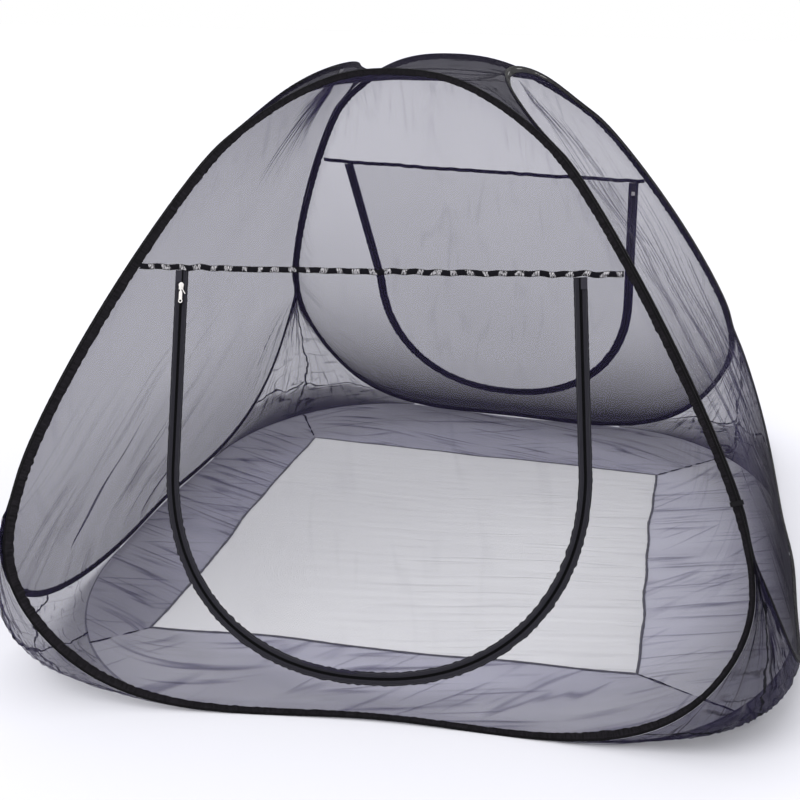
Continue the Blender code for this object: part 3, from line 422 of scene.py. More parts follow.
def weave(across: Signal, along: Signal, pitch: float) -> Signal:
    """Return threads that cross at a pitch."""
    return across.waves(pitch) * along.waves(pitch)


class Shader:
    """A material under construction."""

    def __init__(self, name: str) -> None:
        """Start a material with its Principled shader."""
        self.material = bpy.data.materials.new(name)
        self.material.use_nodes = True
        self.tree = self.material.node_tree
        self.principled = self.tree.nodes["Principled BSDF"]

    def node(self, kind: str, settings: Optional[dict] = None, output: Any = 0, **inputs: Any) -> Signal:
        """Add any node.

        Args:
            kind: The node's type.
            settings: Its own settings, set first.
            output: The output to return.
            inputs: Values or signals for its sockets, by name with spaces as underscores.

        Returns:
            The chosen output.
        """
        node = self.tree.nodes.new(kind)
        for key, value in (settings or {}).items():
            setattr(node, key, value)
        self.fill(node, inputs)
        return Signal(self.tree, node.outputs[output])

    def fill(self, node: bpy.types.Node, inputs: dict[str, Any]) -> None:
        """Give a node's sockets their values or signals."""
        for key, value in inputs.items():
            connect(self.tree, value, node.inputs[key.replace("_", " ")])

    def noise(self, scale: float, detail: float = 2.0, vector: Any = None) -> Signal:
        """Return a noise value in object space, or in a given space."""
        source = vector or self.node("ShaderNodeTexCoord", output="Object")
        return self.node("ShaderNodeTexNoise", Scale=scale, Detail=detail, Vector=source)

    def space(self, x: Signal, y: Signal) -> Signal:
        """Return a vector from its first two parts."""
        return self.node("ShaderNodeCombineXYZ", X=x, Y=y)

    def attribute(self, name: str) -> Signal:
        """Return a float attribute of the mesh."""
        return self.node("ShaderNodeAttribute", {"attribute_name": name}, "Fac")

    def places(self, layer: str) -> Signal:
        """Return a UV map of the mesh."""
        return self.node("ShaderNodeUVMap", {"uv_map": layer})

    def surface(self) -> tuple[Signal, Signal]:
        """Return the piece's own across and along places in metres, from its UV map."""
        return self.places("cloth").split()

    def pulled_lines(self) -> tuple[Signal, Signal, Signal]:
        """Return the cloth's pulled folds: thin dark lines, thin light lines and broad swells; the netting
        paints the light lines as highlights and the panel paints the dark ones as crease shade.
        """
        totals = {"dark": 0.0, "light": 0.0}
        broad = 0.0
        for number, (tone, sharp) in enumerate(PULL_LAYERS):
            run = self.places(f"pull_{number}")
            strength = self.attribute(f"strength_{number}")
            across, along = run.split()
            where = self.space(across * 0.8, along * 2.4)
            breaks = ((self.noise(1.0, 1.0, where) - 0.46) * 7.0).held()
            line = 1 - ((self.noise(1.0, 1.2, run) - 0.5).size() * sharp).at_most(1.0)
            totals[tone] = line * breaks * strength + totals[tone]
            broad = (self.noise(0.6, 1.0, run) - 0.5) * strength + broad
        return totals["dark"].at_most(1.0), totals["light"].at_most(1.0), broad

    def mix(self, share: Any, low: Any, high: Any) -> Signal:
        """Return a colour between two others."""
        node = self.tree.nodes.new("ShaderNodeMix")
        node.data_type = "RGBA"
        connect(self.tree, share, node.inputs[0])
        for slot, colour in ((node.inputs[6], low), (node.inputs[7], high)):
            connect(self.tree, colour if isinstance(colour, Signal) else (*colour, 1.0), slot)
        return Signal(self.tree, node.outputs[2])

    def bump(self, height: Signal, distance: float) -> Signal:
        """Return a normal bent by a height."""
        return self.node("ShaderNodeBump", Height=height, Distance=distance, Strength=1.0)

    def finish(self, **inputs: Any) -> Material:
        """Set the Principled shader's sockets and return the material."""
        self.fill(self.principled, inputs)
        return self.material


@dataclass(frozen=True)
class NetFinish:
    """Fine see-through netting of dark thread.

    Where the cloth is gathered it covers more, and its pulled folds show as thin lines, dark where
    they lie double and pale where they catch the light, a highlight painted into the thread's colour.
    """

    name: str
    thread: Colour = (0.022, 0.018, 0.05)
    dense: Colour = (0.007, 0.006, 0.012)
    # The thread's colour on the light fold lines: a painted highlight.
    fold_highlight: Colour = (0.24, 0.235, 0.265)
    cover: float = 0.1
    pitch: float = 0.0015
    grain: float = 0.05
    lines: float = 0.4
    shine: float = 0.24
    seam: Colour = (0.004, 0.004, 0.006)
    seam_half_width: float = 0.0027

    def build(self) -> Material:
        """Return the netting's material."""
        shader = Shader(self.name)
        across, along = shader.surface()
        cloud = shader.noise(3.2, 3.0) - 0.5
        dark, light, broad = shader.pulled_lines()
        wobble = (shader.noise(26.0, 3.0) - 0.5) * 0.022
        seam = 1 - (shader.attribute("seam") + wobble).within(self.seam_half_width)
        seam = (seam * 3.0).at_most(1.0)
        mesh = weave(across, along, self.pitch) * (self.grain * 0.15)
        cover = shader.attribute("fold") + self.cover + mesh + cloud * self.grain
        # The light fold lines also cover more, so their painted highlight shows.
        cover = cover + dark * self.lines + light * self.shine + broad * 0.1 + seam
        cloth = shader.mix(((cover - 0.5) * 2.5).held(), self.thread, self.dense)
        # Painted highlight: the light fold lines turn the thread pale.
        colour = shader.mix((light * 0.9).at_most(1.0), cloth, self.fold_highlight)
        return shader.finish(
            Base_Color=shader.mix(seam, colour, self.seam), Alpha=cover.at_least(0.05).at_most(0.97),
            Roughness=0.85, Specular_IOR_Level=0.05,
        )


@dataclass(frozen=True)
class BindingFinish:
    """Black folded fabric tape, with a plain weave, puckers and a row of stitches; dust, the stitches and a
    painted sheen on its puckered flat band make it lighter in places.
    """

    name: str
    colour: Colour = (0.0018, 0.0016, 0.0024)
    # The lighter colour of dust, stitches and the painted sheen on the puckers.
    toned: Colour = (0.024, 0.021, 0.027)
    weave_pitch: float = 0.0009
    stitch_pitch: float = 0.0035
    stitch_place: float = 0.011
    stitch_half_width: float = 0.0007

    def build(self) -> Material:
        """Return the binding's material."""
        shader = Shader(self.name)
        across, along = shader.surface()
        stitch = ((along * (1 / self.stitch_pitch)).part() - 0.5).size().above(0.16)
        row = (1 - (across - self.stitch_place).within(self.stitch_half_width)) * stitch
        dust = shader.noise(60.0, 3.0)
        pucker = shader.noise(1.0, 3.0, shader.space(across * 60.0, along * 170.0))
        # Painted sheen: the flat band beside the bead is lighter where the puckers rise.
        flat = ((across - 0.0065) * 220.0).held() * ((pucker - 0.3) * 1.6)
        share = ((dust - 0.4) * 0.4 + row * 0.3 + flat * 0.7).held()
        relief = weave(across, along, self.weave_pitch) * 0.3 + row * 1.2 + pucker * 5.0
        return shader.finish(
            Base_Color=shader.mix(share, self.colour, self.toned), Roughness=0.5 + dust * 0.2,
            Specular_IOR_Level=0.09, Normal=shader.bump(relief, 0.0012),
        )


@dataclass(frozen=True)
class TapeFinish:
    """Black zip tape, ribbed along its length."""

    name: str
    colour: Colour = (0.027, 0.026, 0.034)
    rib_pitch: float = 0.0032
    weave_pitch: float = 0.0008
    edge_place: float = 0.0125
    edge_half_width: float = 0.0011

    def build(self) -> Material:
        """Return the tape's material."""
        shader = Shader(self.name)
        across, along = shader.surface()
        ribs = across.waves(self.rib_pitch)
        threads = along.waves(self.weave_pitch)
        edge = (across - self.edge_place).within(self.edge_half_width)
        # The tape's colour with its lighter worn edge.
        toned = shader.mix(edge, (0.05, 0.05, 0.058), self.colour)
        return shader.finish(
            Base_Color=shader.mix((ribs * 0.5 + 0.5) * 0.4, toned, (0.003, 0.003, 0.004)),
            Roughness=0.7 + shader.noise(90.0) * 0.15, Specular_IOR_Level=0.08,
            Normal=shader.bump(ribs * 0.6 + threads * 0.4, 0.0006),
        )


@dataclass(frozen=True)
class CoilFinish:
    """Black nylon zip coil, with its turns across it."""

    name: str
    turn_pitch: float = 0.0016

    def build(self) -> Material:
        """Return the coil's material."""
        shader = Shader(self.name)
        turns = shader.surface()[1].waves(self.turn_pitch)
        return shader.finish(
            Base_Color=shader.mix(turns * 0.5 + 0.5, (0.001, 0.001, 0.001), (0.004, 0.004, 0.005)),
            Roughness=0.45, Specular_IOR_Level=0.05, Normal=shader.bump(turns, 0.0006),
        )


@dataclass(frozen=True)
class RibbonFinish:
    """Black ribbon with broken pale metallic blocks woven in."""

    name: str
    pale: float = 1.0
    block_pitch: float = 0.039
    weave_pitch: float = 0.0012

    def build(self) -> Material:
        """Return the ribbon's material."""
        shader = Shader(self.name)
        across, along = shader.surface()
        blotch = shader.noise(1.0, 1.0, shader.space(along * 26.0, across * 40.0))
        beat = (along + blotch * 0.034).waves(self.block_pitch)
        small = shader.space(along * 520.0, across * 120.0)
        broken = ((shader.noise(1.0, 2.0, small) - 0.43) * 9.0).held()
        body = 1 - (across.size() * (1 / (RIBBON_WIDTH * 0.46))).power(8.0).at_most(1.0)
        mask = ((beat - 0.3) * 5.0).held() * broken * body * self.pale
        return shader.finish(
            Base_Color=shader.mix(mask, (0.003, 0.0026, 0.005), (0.46, 0.45, 0.47)),
            Roughness=0.55 - mask * 0.15, Metallic=mask * 0.3, Specular_IOR_Level=0.08,
            Normal=shader.bump(weave(along, across, self.weave_pitch) * 0.6 + mask * 0.5, 0.0005),
        )


@dataclass(frozen=True)
class PanelFinish:
    """White plain-woven cloth with thin slack folds, painted darker in their creases."""

    name: str
    colour: Colour = (0.9, 0.9, 0.935)
    shade: Colour = (0.5, 0.5, 0.54)
    weave_pitch: float = 0.0018

    def build(self) -> Material:
        """Return the panel's material."""
        shader = Shader(self.name)
        across, along = shader.surface()
        cloud = shader.noise(3.0, 4.0)
        dark, light, broad = shader.pulled_lines()
        # Painted shade: the dark fold lines darken the cloth in its creases, over a random mottle.
        toned = ((cloud - 0.45) * 0.2 + dark * 0.3 + shader.attribute("fold")).held()
        threads = weave(across, along, self.weave_pitch)
        relief = threads * 0.2 - dark * 2.0 + light * 2.0 + broad * 6.0
        return shader.finish(
            Base_Color=shader.mix(toned, self.colour, self.shade), Roughness=0.85,
            Specular_IOR_Level=0.1, Normal=shader.bump(relief, 0.002),
        )


@dataclass(frozen=True)
class MetalFinish:
    """Plated or drawn metal with fine wear."""

    name: str
    colour: Colour
    roughness: float

    def build(self) -> Material:
        """Return the metal's material."""
        shader = Shader(self.name)
        wear = shader.noise(900.0, 4.0)
        smear = shader.noise(120.0, 2.0)
        return shader.finish(
            Base_Color=shader.mix(smear, self.colour, tuple(0.8 * part for part in self.colour)),
            Metallic=1.0, Roughness=self.roughness + wear * 0.15, Normal=shader.bump(wear, 0.0001),
        )


class Slot(Enum):
    """The record's material slots of the pieces drawn here."""

    NETTING = "netting"
    ROOF = "dark_netting"
    BINDING = "binding_fabric"
    PANEL = "woven_panel"
    TAPE = "zip_tape"
    COIL = "zip_coil"
    METAL = "zip_metal"
    RIBBON = "ribbon_fabric"


def lengths_of(grid: Points) -> Points:
    """Return places in metres over a grid: across its columns and along its rows."""
    across = np.linalg.norm(np.diff(grid, axis=1), axis=2)
    along = np.linalg.norm(np.diff(grid, axis=0), axis=2)
    across = np.concatenate([np.zeros((grid.shape[0], 1)), np.cumsum(across, axis=1)], axis=1)
    across -= across[:, across.shape[1] // 2][:, None]
    along = np.concatenate([np.zeros((1, grid.shape[1])), np.cumsum(along, axis=0)], axis=0)
    return np.stack([across, np.broadcast_to(along.mean(axis=1)[:, None], across.shape)], axis=-1)


def shares_of(rows: int, columns: int) -> list[Points]:
    """Return how far along and across a grid each of its points is, from 0 to 1."""
    return np.meshgrid(np.linspace(0, 1, rows), np.linspace(0, 1, columns), indexing="ij")


def corners_of(rows: int, columns: int, ring: bool, hoop: bool) -> Pair:
    """Return the corners of a grid's quads, in its points and in its unrolled points.

    Args:
        rows: The grid's rows.
        columns: The grid's columns.
        ring: Whether the last column joins the first.
        hoop: Whether the last row joins the first.

    Returns:
        The quads' corners, and the same corners on a grid that has the joined row and column
        twice, for what doesn't join up, such as places along the cloth.
    """
    down = np.arange(rows if hoop else rows - 1)
    row, column = np.meshgrid(down, np.arange(columns if ring else columns - 1), indexing="ij")
    places = [(row, column), (row, column + 1), (row + 1, column + 1), (row + 1, column)]
    joined = np.stack([(r % rows) * columns + c % columns for r, c in places], axis=-1)
    unrolled = np.stack([r * (columns + 1) + c for r, c in places], axis=-1)
    return joined.reshape(-1, 4), unrolled.reshape(-1, 4)


def add_grid(
    name: str, grid: Points, material: Material, place: Points, ring: bool = False, hoop: bool = False,
    fields: Optional[dict[str, Points]] = None, layers: Optional[dict[str, Points]] = None,
) -> Piece:
    """Make a mesh object from a grid of points.

    Args:
        name: The piece's name.
        grid: Points by row and column.
        material: Its finish.
        place: Places on the cloth in metres, with one more row and column than the grid.
        ring: Whether the last column joins the first.
        hoop: Whether the last row joins the first.
        fields: Numbers at each point, by name.
        layers: More pairs of places, by name, shaped as the grid.

    Returns:
        The new object.
    """
    joined, unrolled = corners_of(*grid.shape[:2], ring, hoop)
    mesh = bpy.data.meshes.new(name)
    mesh.from_pydata(grid.reshape(-1, 3).tolist(), [], joined.tolist())
    maps = [("cloth", place, unrolled)] + [(key, pairs, joined) for key, pairs in (layers or {}).items()]
    for key, pairs, quads in maps:
        layer = mesh.uv_layers.new(name=key)
        layer.data.foreach_set("uv", pairs.reshape(-1, 2)[quads.reshape(-1)].astype(np.float32).reshape(-1))
    for key, numbers in (fields or {}).items():
        item = mesh.attributes.new(key, "FLOAT", "POINT")
        item.data.foreach_set("value", numbers.astype(np.float32).reshape(-1))
    mesh.polygons.foreach_set("use_smooth", [True] * len(mesh.polygons))
    mesh.materials.append(material)
    piece = bpy.data.objects.new(name, mesh)
    bpy.context.collection.objects.link(piece)
    return piece


def unrolled_places(place: Points) -> Points:
    """Return places with one more row and column, a step past the last."""
    wide = np.concatenate([place, 2 * place[:, -1:] - place[:, -2:-1]], axis=1)
    return np.concatenate([wide, 2 * wide[-1:] - wide[-2:-1]], axis=0)


def tighten(grid: Points, rounds: int) -> Points:
    """Pull a grid's inner points tight between its edges.

    Args:
        grid: Points by row and column.
        rounds: How often each point moves to its neighbours' mean.

    Returns:
        The tightened grid.
    """
    grid = grid.copy()
    for _ in range(rounds):
        beside = grid[1:-1, :-2] + grid[1:-1, 2:] + grid[:-2, 1:-1] + grid[2:, 1:-1]
        grid[1:-1, 1:-1] = beside / 4
    return grid


def refined(grid: Points, rows: Points, columns: int) -> Points:
    """Return a smooth finer grid through a coarse one.

    Args:
        grid: The coarse points.
        rows: The rows to read, which may lie between the coarse ones.
        columns: How many columns to read.

    Returns:
        The finer points.
    """
    height, width = grid.shape[:2]
    tall = resampled(grid.reshape(height, -1), rows, np.arange(height)).reshape(len(rows), width, 3)
    turned = tall.transpose(1, 0, 2).reshape(width, -1)
    fine = resampled(turned, np.linspace(0, width - 1, columns), np.arange(width))
    return tighten(fine.reshape(columns, len(rows), 3).transpose(1, 0, 2), REFINE_ROUNDS)


def normals_of(grid: Points) -> Points:
    """Return the directions square to a grid's surface."""
    return unit(np.cross(np.gradient(grid, axis=1), np.gradient(grid, axis=0)))


class Pull(ABC):
    """Folds pulled into a sheet of cloth."""

    @abstractmethod
    def lay(self, share: Points, place: Points) -> Pair:
        """Return places across and along the folds, and how strongly they show.

        Args:
            share: Shares across and along the sheet at each point.
            place: Places on the cloth in metres at each point.

        Returns:
            The places and the strengths.
        """


@dataclass(frozen=True)
class Fan(Pull):
    """Folds that spread from a point of a sheet, given in shares across and along it."""

    pivot: tuple[float, float]
    reach: float
    turn: float
    spread: float
    strength: float = 1.0
    folds: float = 12.0

    def lay(self, share: Points, place: Points) -> Pair:
        """Return places round and away from the pivot, and the strengths."""
        away = np.linalg.norm(share - np.array(self.pivot), axis=-1)
        reach = place - place.reshape(-1, 2)[away.argmin()]
        radius = np.linalg.norm(reach, axis=-1)
        angle = np.arctan2(reach[..., 1], reach[..., 0]) - math.radians(self.turn)
        angle = (angle + math.pi) % math.tau - math.pi
        aim = np.clip(1.4 - np.abs(angle) / math.radians(self.spread), 0, 1)
        fade = np.clip(1.15 - radius / self.reach, 0, 1) * np.clip(radius / FAN_CORE, 0, 1)
        run = np.stack([angle * self.folds + RUN_START, radius * FAN_RATE], axis=-1)
        return run, aim * fade * self.strength


@dataclass(frozen=True)
class Drift(Pull):
    """Side by side folds that run one way over a sheet, stronger round one place."""

    centre: tuple[float, float]
    reach: tuple[float, float]
    turn: float
    strength: float = 1.0
    spacing: float = 0.06
    length: float = 0.5

    def lay(self, share: Points, place: Points) -> Pair:
        """Return places over and along the folds, and the strengths."""
        angle = math.radians(self.turn)
        along = place[..., 0] * math.cos(angle) + place[..., 1] * math.sin(angle)
        across = place[..., 1] * math.cos(angle) - place[..., 0] * math.sin(angle)
        off = (share - np.array(self.centre)) / np.array(self.reach)
        near = np.clip(1.3 - np.linalg.norm(off, axis=-1), 0, 1)
        run = np.stack([across / self.spacing + RUN_START, along / self.length], axis=-1)
        return run, near * self.strength


def gather_at_front(piece: Piece, front: float) -> None:
    """Give a soft piece its own copy of its mesh.

    Args:
        piece: The piece, its mesh final.
        front: How far along Y its front edge is. Not used.
    """
    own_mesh(piece)


@dataclass(frozen=True)
class Bend:
    """A sheet's bend from its own body to another, between two places; a sheet with one is only left
    unparented, not bent.
    """

    body: str
    start: Points
    end: Points


@dataclass
class Cloth:
    """A sheet of cloth: its grid and its folds, with its hold, slot and resting place kept but not
    declared.
    """

    name: str
    body: str
    node: str
    pulls: tuple[Pull, ...]
    ripple: float
    seed: int
    held: str = "stretched"
    slot: Slot = Slot.NETTING
    rests_on: tuple[str, ...] = ()
    lifted: bool = False
    bend: Optional[Bend] = None

    def relief(self, runs: list[Pair], place: Points) -> Points:
        """Return how far the cloth stands off its mean surface at each point."""
        draw = np.random.default_rng(self.seed)
        lift = np.zeros(place.shape[:2])
        for _ in range(SWELLS):
            turn, wave = draw.uniform(0, math.tau), draw.uniform(*SWELL_RATES)
            phase = draw.uniform(0, math.tau)
            swell = np.sin(wave * (place[..., 0] * math.cos(turn) + place[..., 1] * math.sin(turn)) + phase)
            lift += self.ripple * swell / math.sqrt(wave / SWELL_RATES[0])
        for run, strength in runs:
            for _ in range(FOLD_WAVES):
                wave, phase = draw.uniform(*FOLD_RATES), draw.uniform(0, math.tau)
                bend = draw.uniform(-0.5, 0.5) * run[..., 1]
                lift += FOLD_HEIGHT * self.ripple * strength * np.sin(wave * (run[..., 0] + bend) + phase)
        return lift

    def make(
        self, grid: Points, material: Material, ring: bool = False, fade: Optional[Points] = None,
        fold: Optional[Points] = None, seam: Optional[Points] = None,
    ) -> Piece:
        """Args:
            grid: The sheet's points.
            material: Its finish.
            ring: Whether its columns close into a ring.
            fade: Where the folds may stand, from 0 to 1.
            fold: How much more each point covers.
            seam: Distances in metres from the sheet's seams.

        Returns:
            The piece.
        """
        rows, columns = grid.shape[:2]
        along, across = shares_of(rows, columns)
        share = np.stack([across, along], axis=-1)
        place = lengths_of(grid)
        size = (float(np.ptp(place[..., 0])), float(np.ptp(place[..., 1])))
        if fade is None:
            sides = (np.minimum(across, 1 - across) * size[0], np.minimum(along, 1 - along) * size[1])
            fade = np.clip(np.minimum(*sides) / EDGE_FADE, 0, 1)
        runs = [pull.lay(share, place) for pull in self.pulls]
        lift = self.relief(runs, place) * fade
        up = np.array((0.0, 0.0, 1.0)) if self.lifted else normals_of(grid)
        shaped = grid + (np.abs(lift) if self.lifted else lift)[..., None] * up
        fields = {
            "fold": np.zeros((rows, columns)) if fold is None else fold,
            "seam": np.ones((rows, columns)) if seam is None else seam,
        }
        layers = {}
        for number in range(len(PULL_LAYERS)):
            run, strength = runs[number] if number < len(runs) else (place, np.zeros((rows, columns)))
            layers[f"pull_{number}"] = run
            fields[f"strength_{number}"] = strength
        piece = add_grid(self.name, shaped, material, unrolled_places(place), ring, False, fields, layers)
        if self.bend is None:
            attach(piece, self.body)
        else:
            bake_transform(piece)
        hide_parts(self.node)
        return piece


def sweep(
    name: str, path: Points, frames: Pair, profile: Points, material: Material,
    closed: bool, uv_across: Points,
) -> Piece:
    """Run a closed profile along a path.

    Args:
        name: The piece's name.
        path: The points it follows.
        frames: The two directions of the profile's places, at each point or for all of them.
        profile: Places by section and corner, or by corner alone.
        material: Its finish.
        closed: Whether the path closes on itself.
        uv_across: The place across the cloth of each corner.

    Returns:
        The piece.
    """
    one, two = (np.broadcast_to(direction, path.shape)[:, None] for direction in frames)
    grid = path[:, None] + profile[..., :1] * one + profile[..., 1:2] * two
    run = run_lengths(path)
    run = np.append(run, 2 * run[-1] - run[-2])
    wide = np.append(uv_across, uv_across[0])
    shape = (len(run), len(wide))
    place = np.stack([np.broadcast_to(wide, shape), np.broadcast_to(run[:, None], shape)], axis=-1)
    piece = add_grid(name, grid, material, place, ring=True, hoop=closed)
    work = bmesh.new()
    work.from_mesh(piece.data)
    if not closed:
        bmesh.ops.holes_fill(work, edges=[edge for edge in work.edges if edge.is_boundary], sides=0)
    bmesh.ops.recalc_face_normals(work, faces=work.faces)
    work.to_mesh(piece.data)
    work.free()
    return piece


def dress(piece: Piece, body: str, node: str) -> Piece:
    """Say what a piece rides on and replaces."""
    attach(piece, body)
    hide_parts(node)
    LOG.info("%s rides on %s for %s", piece.name, body, node)
    return piece


def mixed_waves(count: int, seed: int, low: int, high: int, waves: int = 40) -> Points:
    """Return a wandering number at each of a closed run's points, mostly within 1 of zero.

    Args:
        count: How many points there are.
        seed: The seed of the random draws.
        low: The fewest waves in the run.
        high: One more than the most waves in the run.
        waves: How many sine waves are summed.

    Returns:
        The numbers.
    """
    draw = np.random.default_rng(seed)
    run = np.arange(count) / count * math.tau
    total = np.zeros(count)
    for _ in range(waves):
        total += np.sin(draw.integers(low, high) * run + draw.uniform(0, math.tau))
    return total / math.sqrt(waves)


@dataclass
class WireSleeve:
    """A loop's fabric binding, folded round the sprung wire and puckered by its stitching."""

    loop: Loop
    width: float
    widths: Sequence[tuple[float, float]]
    spacing: float = 0.005
    pucker: float = 0.0007
    waver: float = 0.0011

    def profile(self) -> Pair:
        """Return the band's corners and how much each moves with the puckers."""
        rows = [(self.width * share, BINDING_HALF * thick, loose) for share, thick, loose in BINDING_LIP]
        under = [(across, -out, -loose) for across, out, loose in reversed(rows)]
        for step in range(BEAD_TURNS + 1):
            angle = math.radians(BEAD_START + step * BEAD_SWEEP / BEAD_TURNS)
            rows.append((BEAD_REACH * math.cos(angle), BEAD_REACH * math.sin(angle), BEAD_LOOSE))
        table = np.array(rows + under)
        return table[:, :2], np.abs(table[:, 2])

    def build(self, material: Material) -> Piece:
        """Make the binding."""
        name = self.loop.name
        stations = self.loop.even_stations(self.spacing)
        corners, loose = self.profile()
        count = len(stations)
        seed = sum(ord(letter) for letter in name)
        swell = mixed_waves(count, seed, 60, 420)
        shift = mixed_waves(count, seed + 1, 40, 300)
        profile = np.broadcast_to(corners, (count, *corners.shape)).copy()
        profile[..., 1] += self.pucker * swell[:, None] * loose
        profile[..., 0] += self.waver * shift[:, None] * (loose > 0.5)
        slimmed = np.interp(stations, *np.transpose(self.widths))[:, None]
        profile[..., 0] *= np.where(profile[..., 0] > BEAD_REACH, slimmed, 1.0)
        places = np.concatenate([np.linspace(self.width, 0, 7), np.linspace(0, self.width, 8)])
        frames = self.loop.axes(stations)[1:]
        piece = sweep(
            f"{name}_sleeve", self.loop.offset(stations, 0.0), frames, profile, material, True, places
        )
        return dress(piece, f"{name}_frame", f"{name}_binding")


class DoorPlane:
    """The plane of a door: places across it, down it and out of it."""

    def __init__(self, loop: Loop, outer_left: int, shares: Sequence[float]) -> None:
        """Set the plane from its loop.

        Args:
            loop: The loop that holds the door.
            outer_left: The sign of X on the left, seen from outside.
            shares: Leg places, leg length, depth and the legs' drifts, as shares of half the
                ribbon across and of the drop to the bottom binding down.
        """
        left = loop.base(RIBBON if outer_left > 0 else STATIONS - RIBBON)
        right = loop.base(RIBBON if outer_left < 0 else STATIONS - RIBBON)
        self.loop, self.outer_left = loop, outer_left
        self.middle = (left + right) / 2
        self.across = unit(right - left)
        half = float(np.linalg.norm(right - left)) / 2
        foot = loop.offset(0.0, BINDING_WIDTH) - self.middle
        self.down = unit(foot - np.dot(foot, self.across) * self.across)
        self.out = np.cross(self.down, self.across)
        drop = float(np.dot(foot, self.down))
        self.sizes = tuple(np.array(shares) * (half, half, drop, drop, half, half))

    def place(self, flat: Points, out: Any = 0.0) -> Points:
        """Return world points from places across and down the plane, and out of it."""
        across, down = flat[..., :1], flat[..., 1:2]
        return self.middle + across * self.across + down * self.down + np.asarray(out)[..., None] * self.out

    def half_line(self, side: int, count: int, top: float = 0.0) -> Pair:
        """Return one half of the zip's centre line, from its top to the bottom middle.

        Args:
            side: -1 for the left half and 1 for the right.
            count: How many points to give.
            top: How far below the ribbon it starts.

        Returns:
            The points and their outward directions, across and down.
        """
        left, right, leg, depth, left_drift, right_drift = self.sizes
        low_left, low_right = left + left_drift, right + right_drift
        centre, half = (low_left + low_right) / 2, (low_right - low_left) / 2
        start, drift = (left, left_drift) if side < 0 else (right, right_drift)
        down = top + (leg - top) * np.linspace(0, 1, LEG_POINTS)[:-1]
        angle = np.linspace(0, math.pi / 2, BOW_POINTS)
        bow = (
            centre + side * half * np.cos(angle) ** (2 / BOTTOM_POWER),
            leg + (depth - leg) * np.sin(angle) ** (2 / BOTTOM_POWER),
        )
        line = np.concatenate([np.stack([start + drift * down / leg, down], axis=1), np.stack(bow, axis=1)])
        run = run_lengths(line)
        line = resampled(line, np.linspace(0, run[-1], count), run)
        ahead = unit(np.gradient(line, axis=0))
        ahead[-1] = (-side, 0.0)
        return line, np.stack([ahead[:, 1] * side, -ahead[:, 0] * side], axis=1)

    def zip_line(self, left_top: float) -> Pair:
        """Return the zip's centre line from left top to right top, and its outward directions."""
        left = self.half_line(-1, ZIP_POINTS, left_top)
        right = self.half_line(1, ZIP_POINTS, TAPE_TOP_GAP)
        line, away = (np.concatenate([one, two[-2::-1]]) for one, two in zip(left, right))
        return line, away


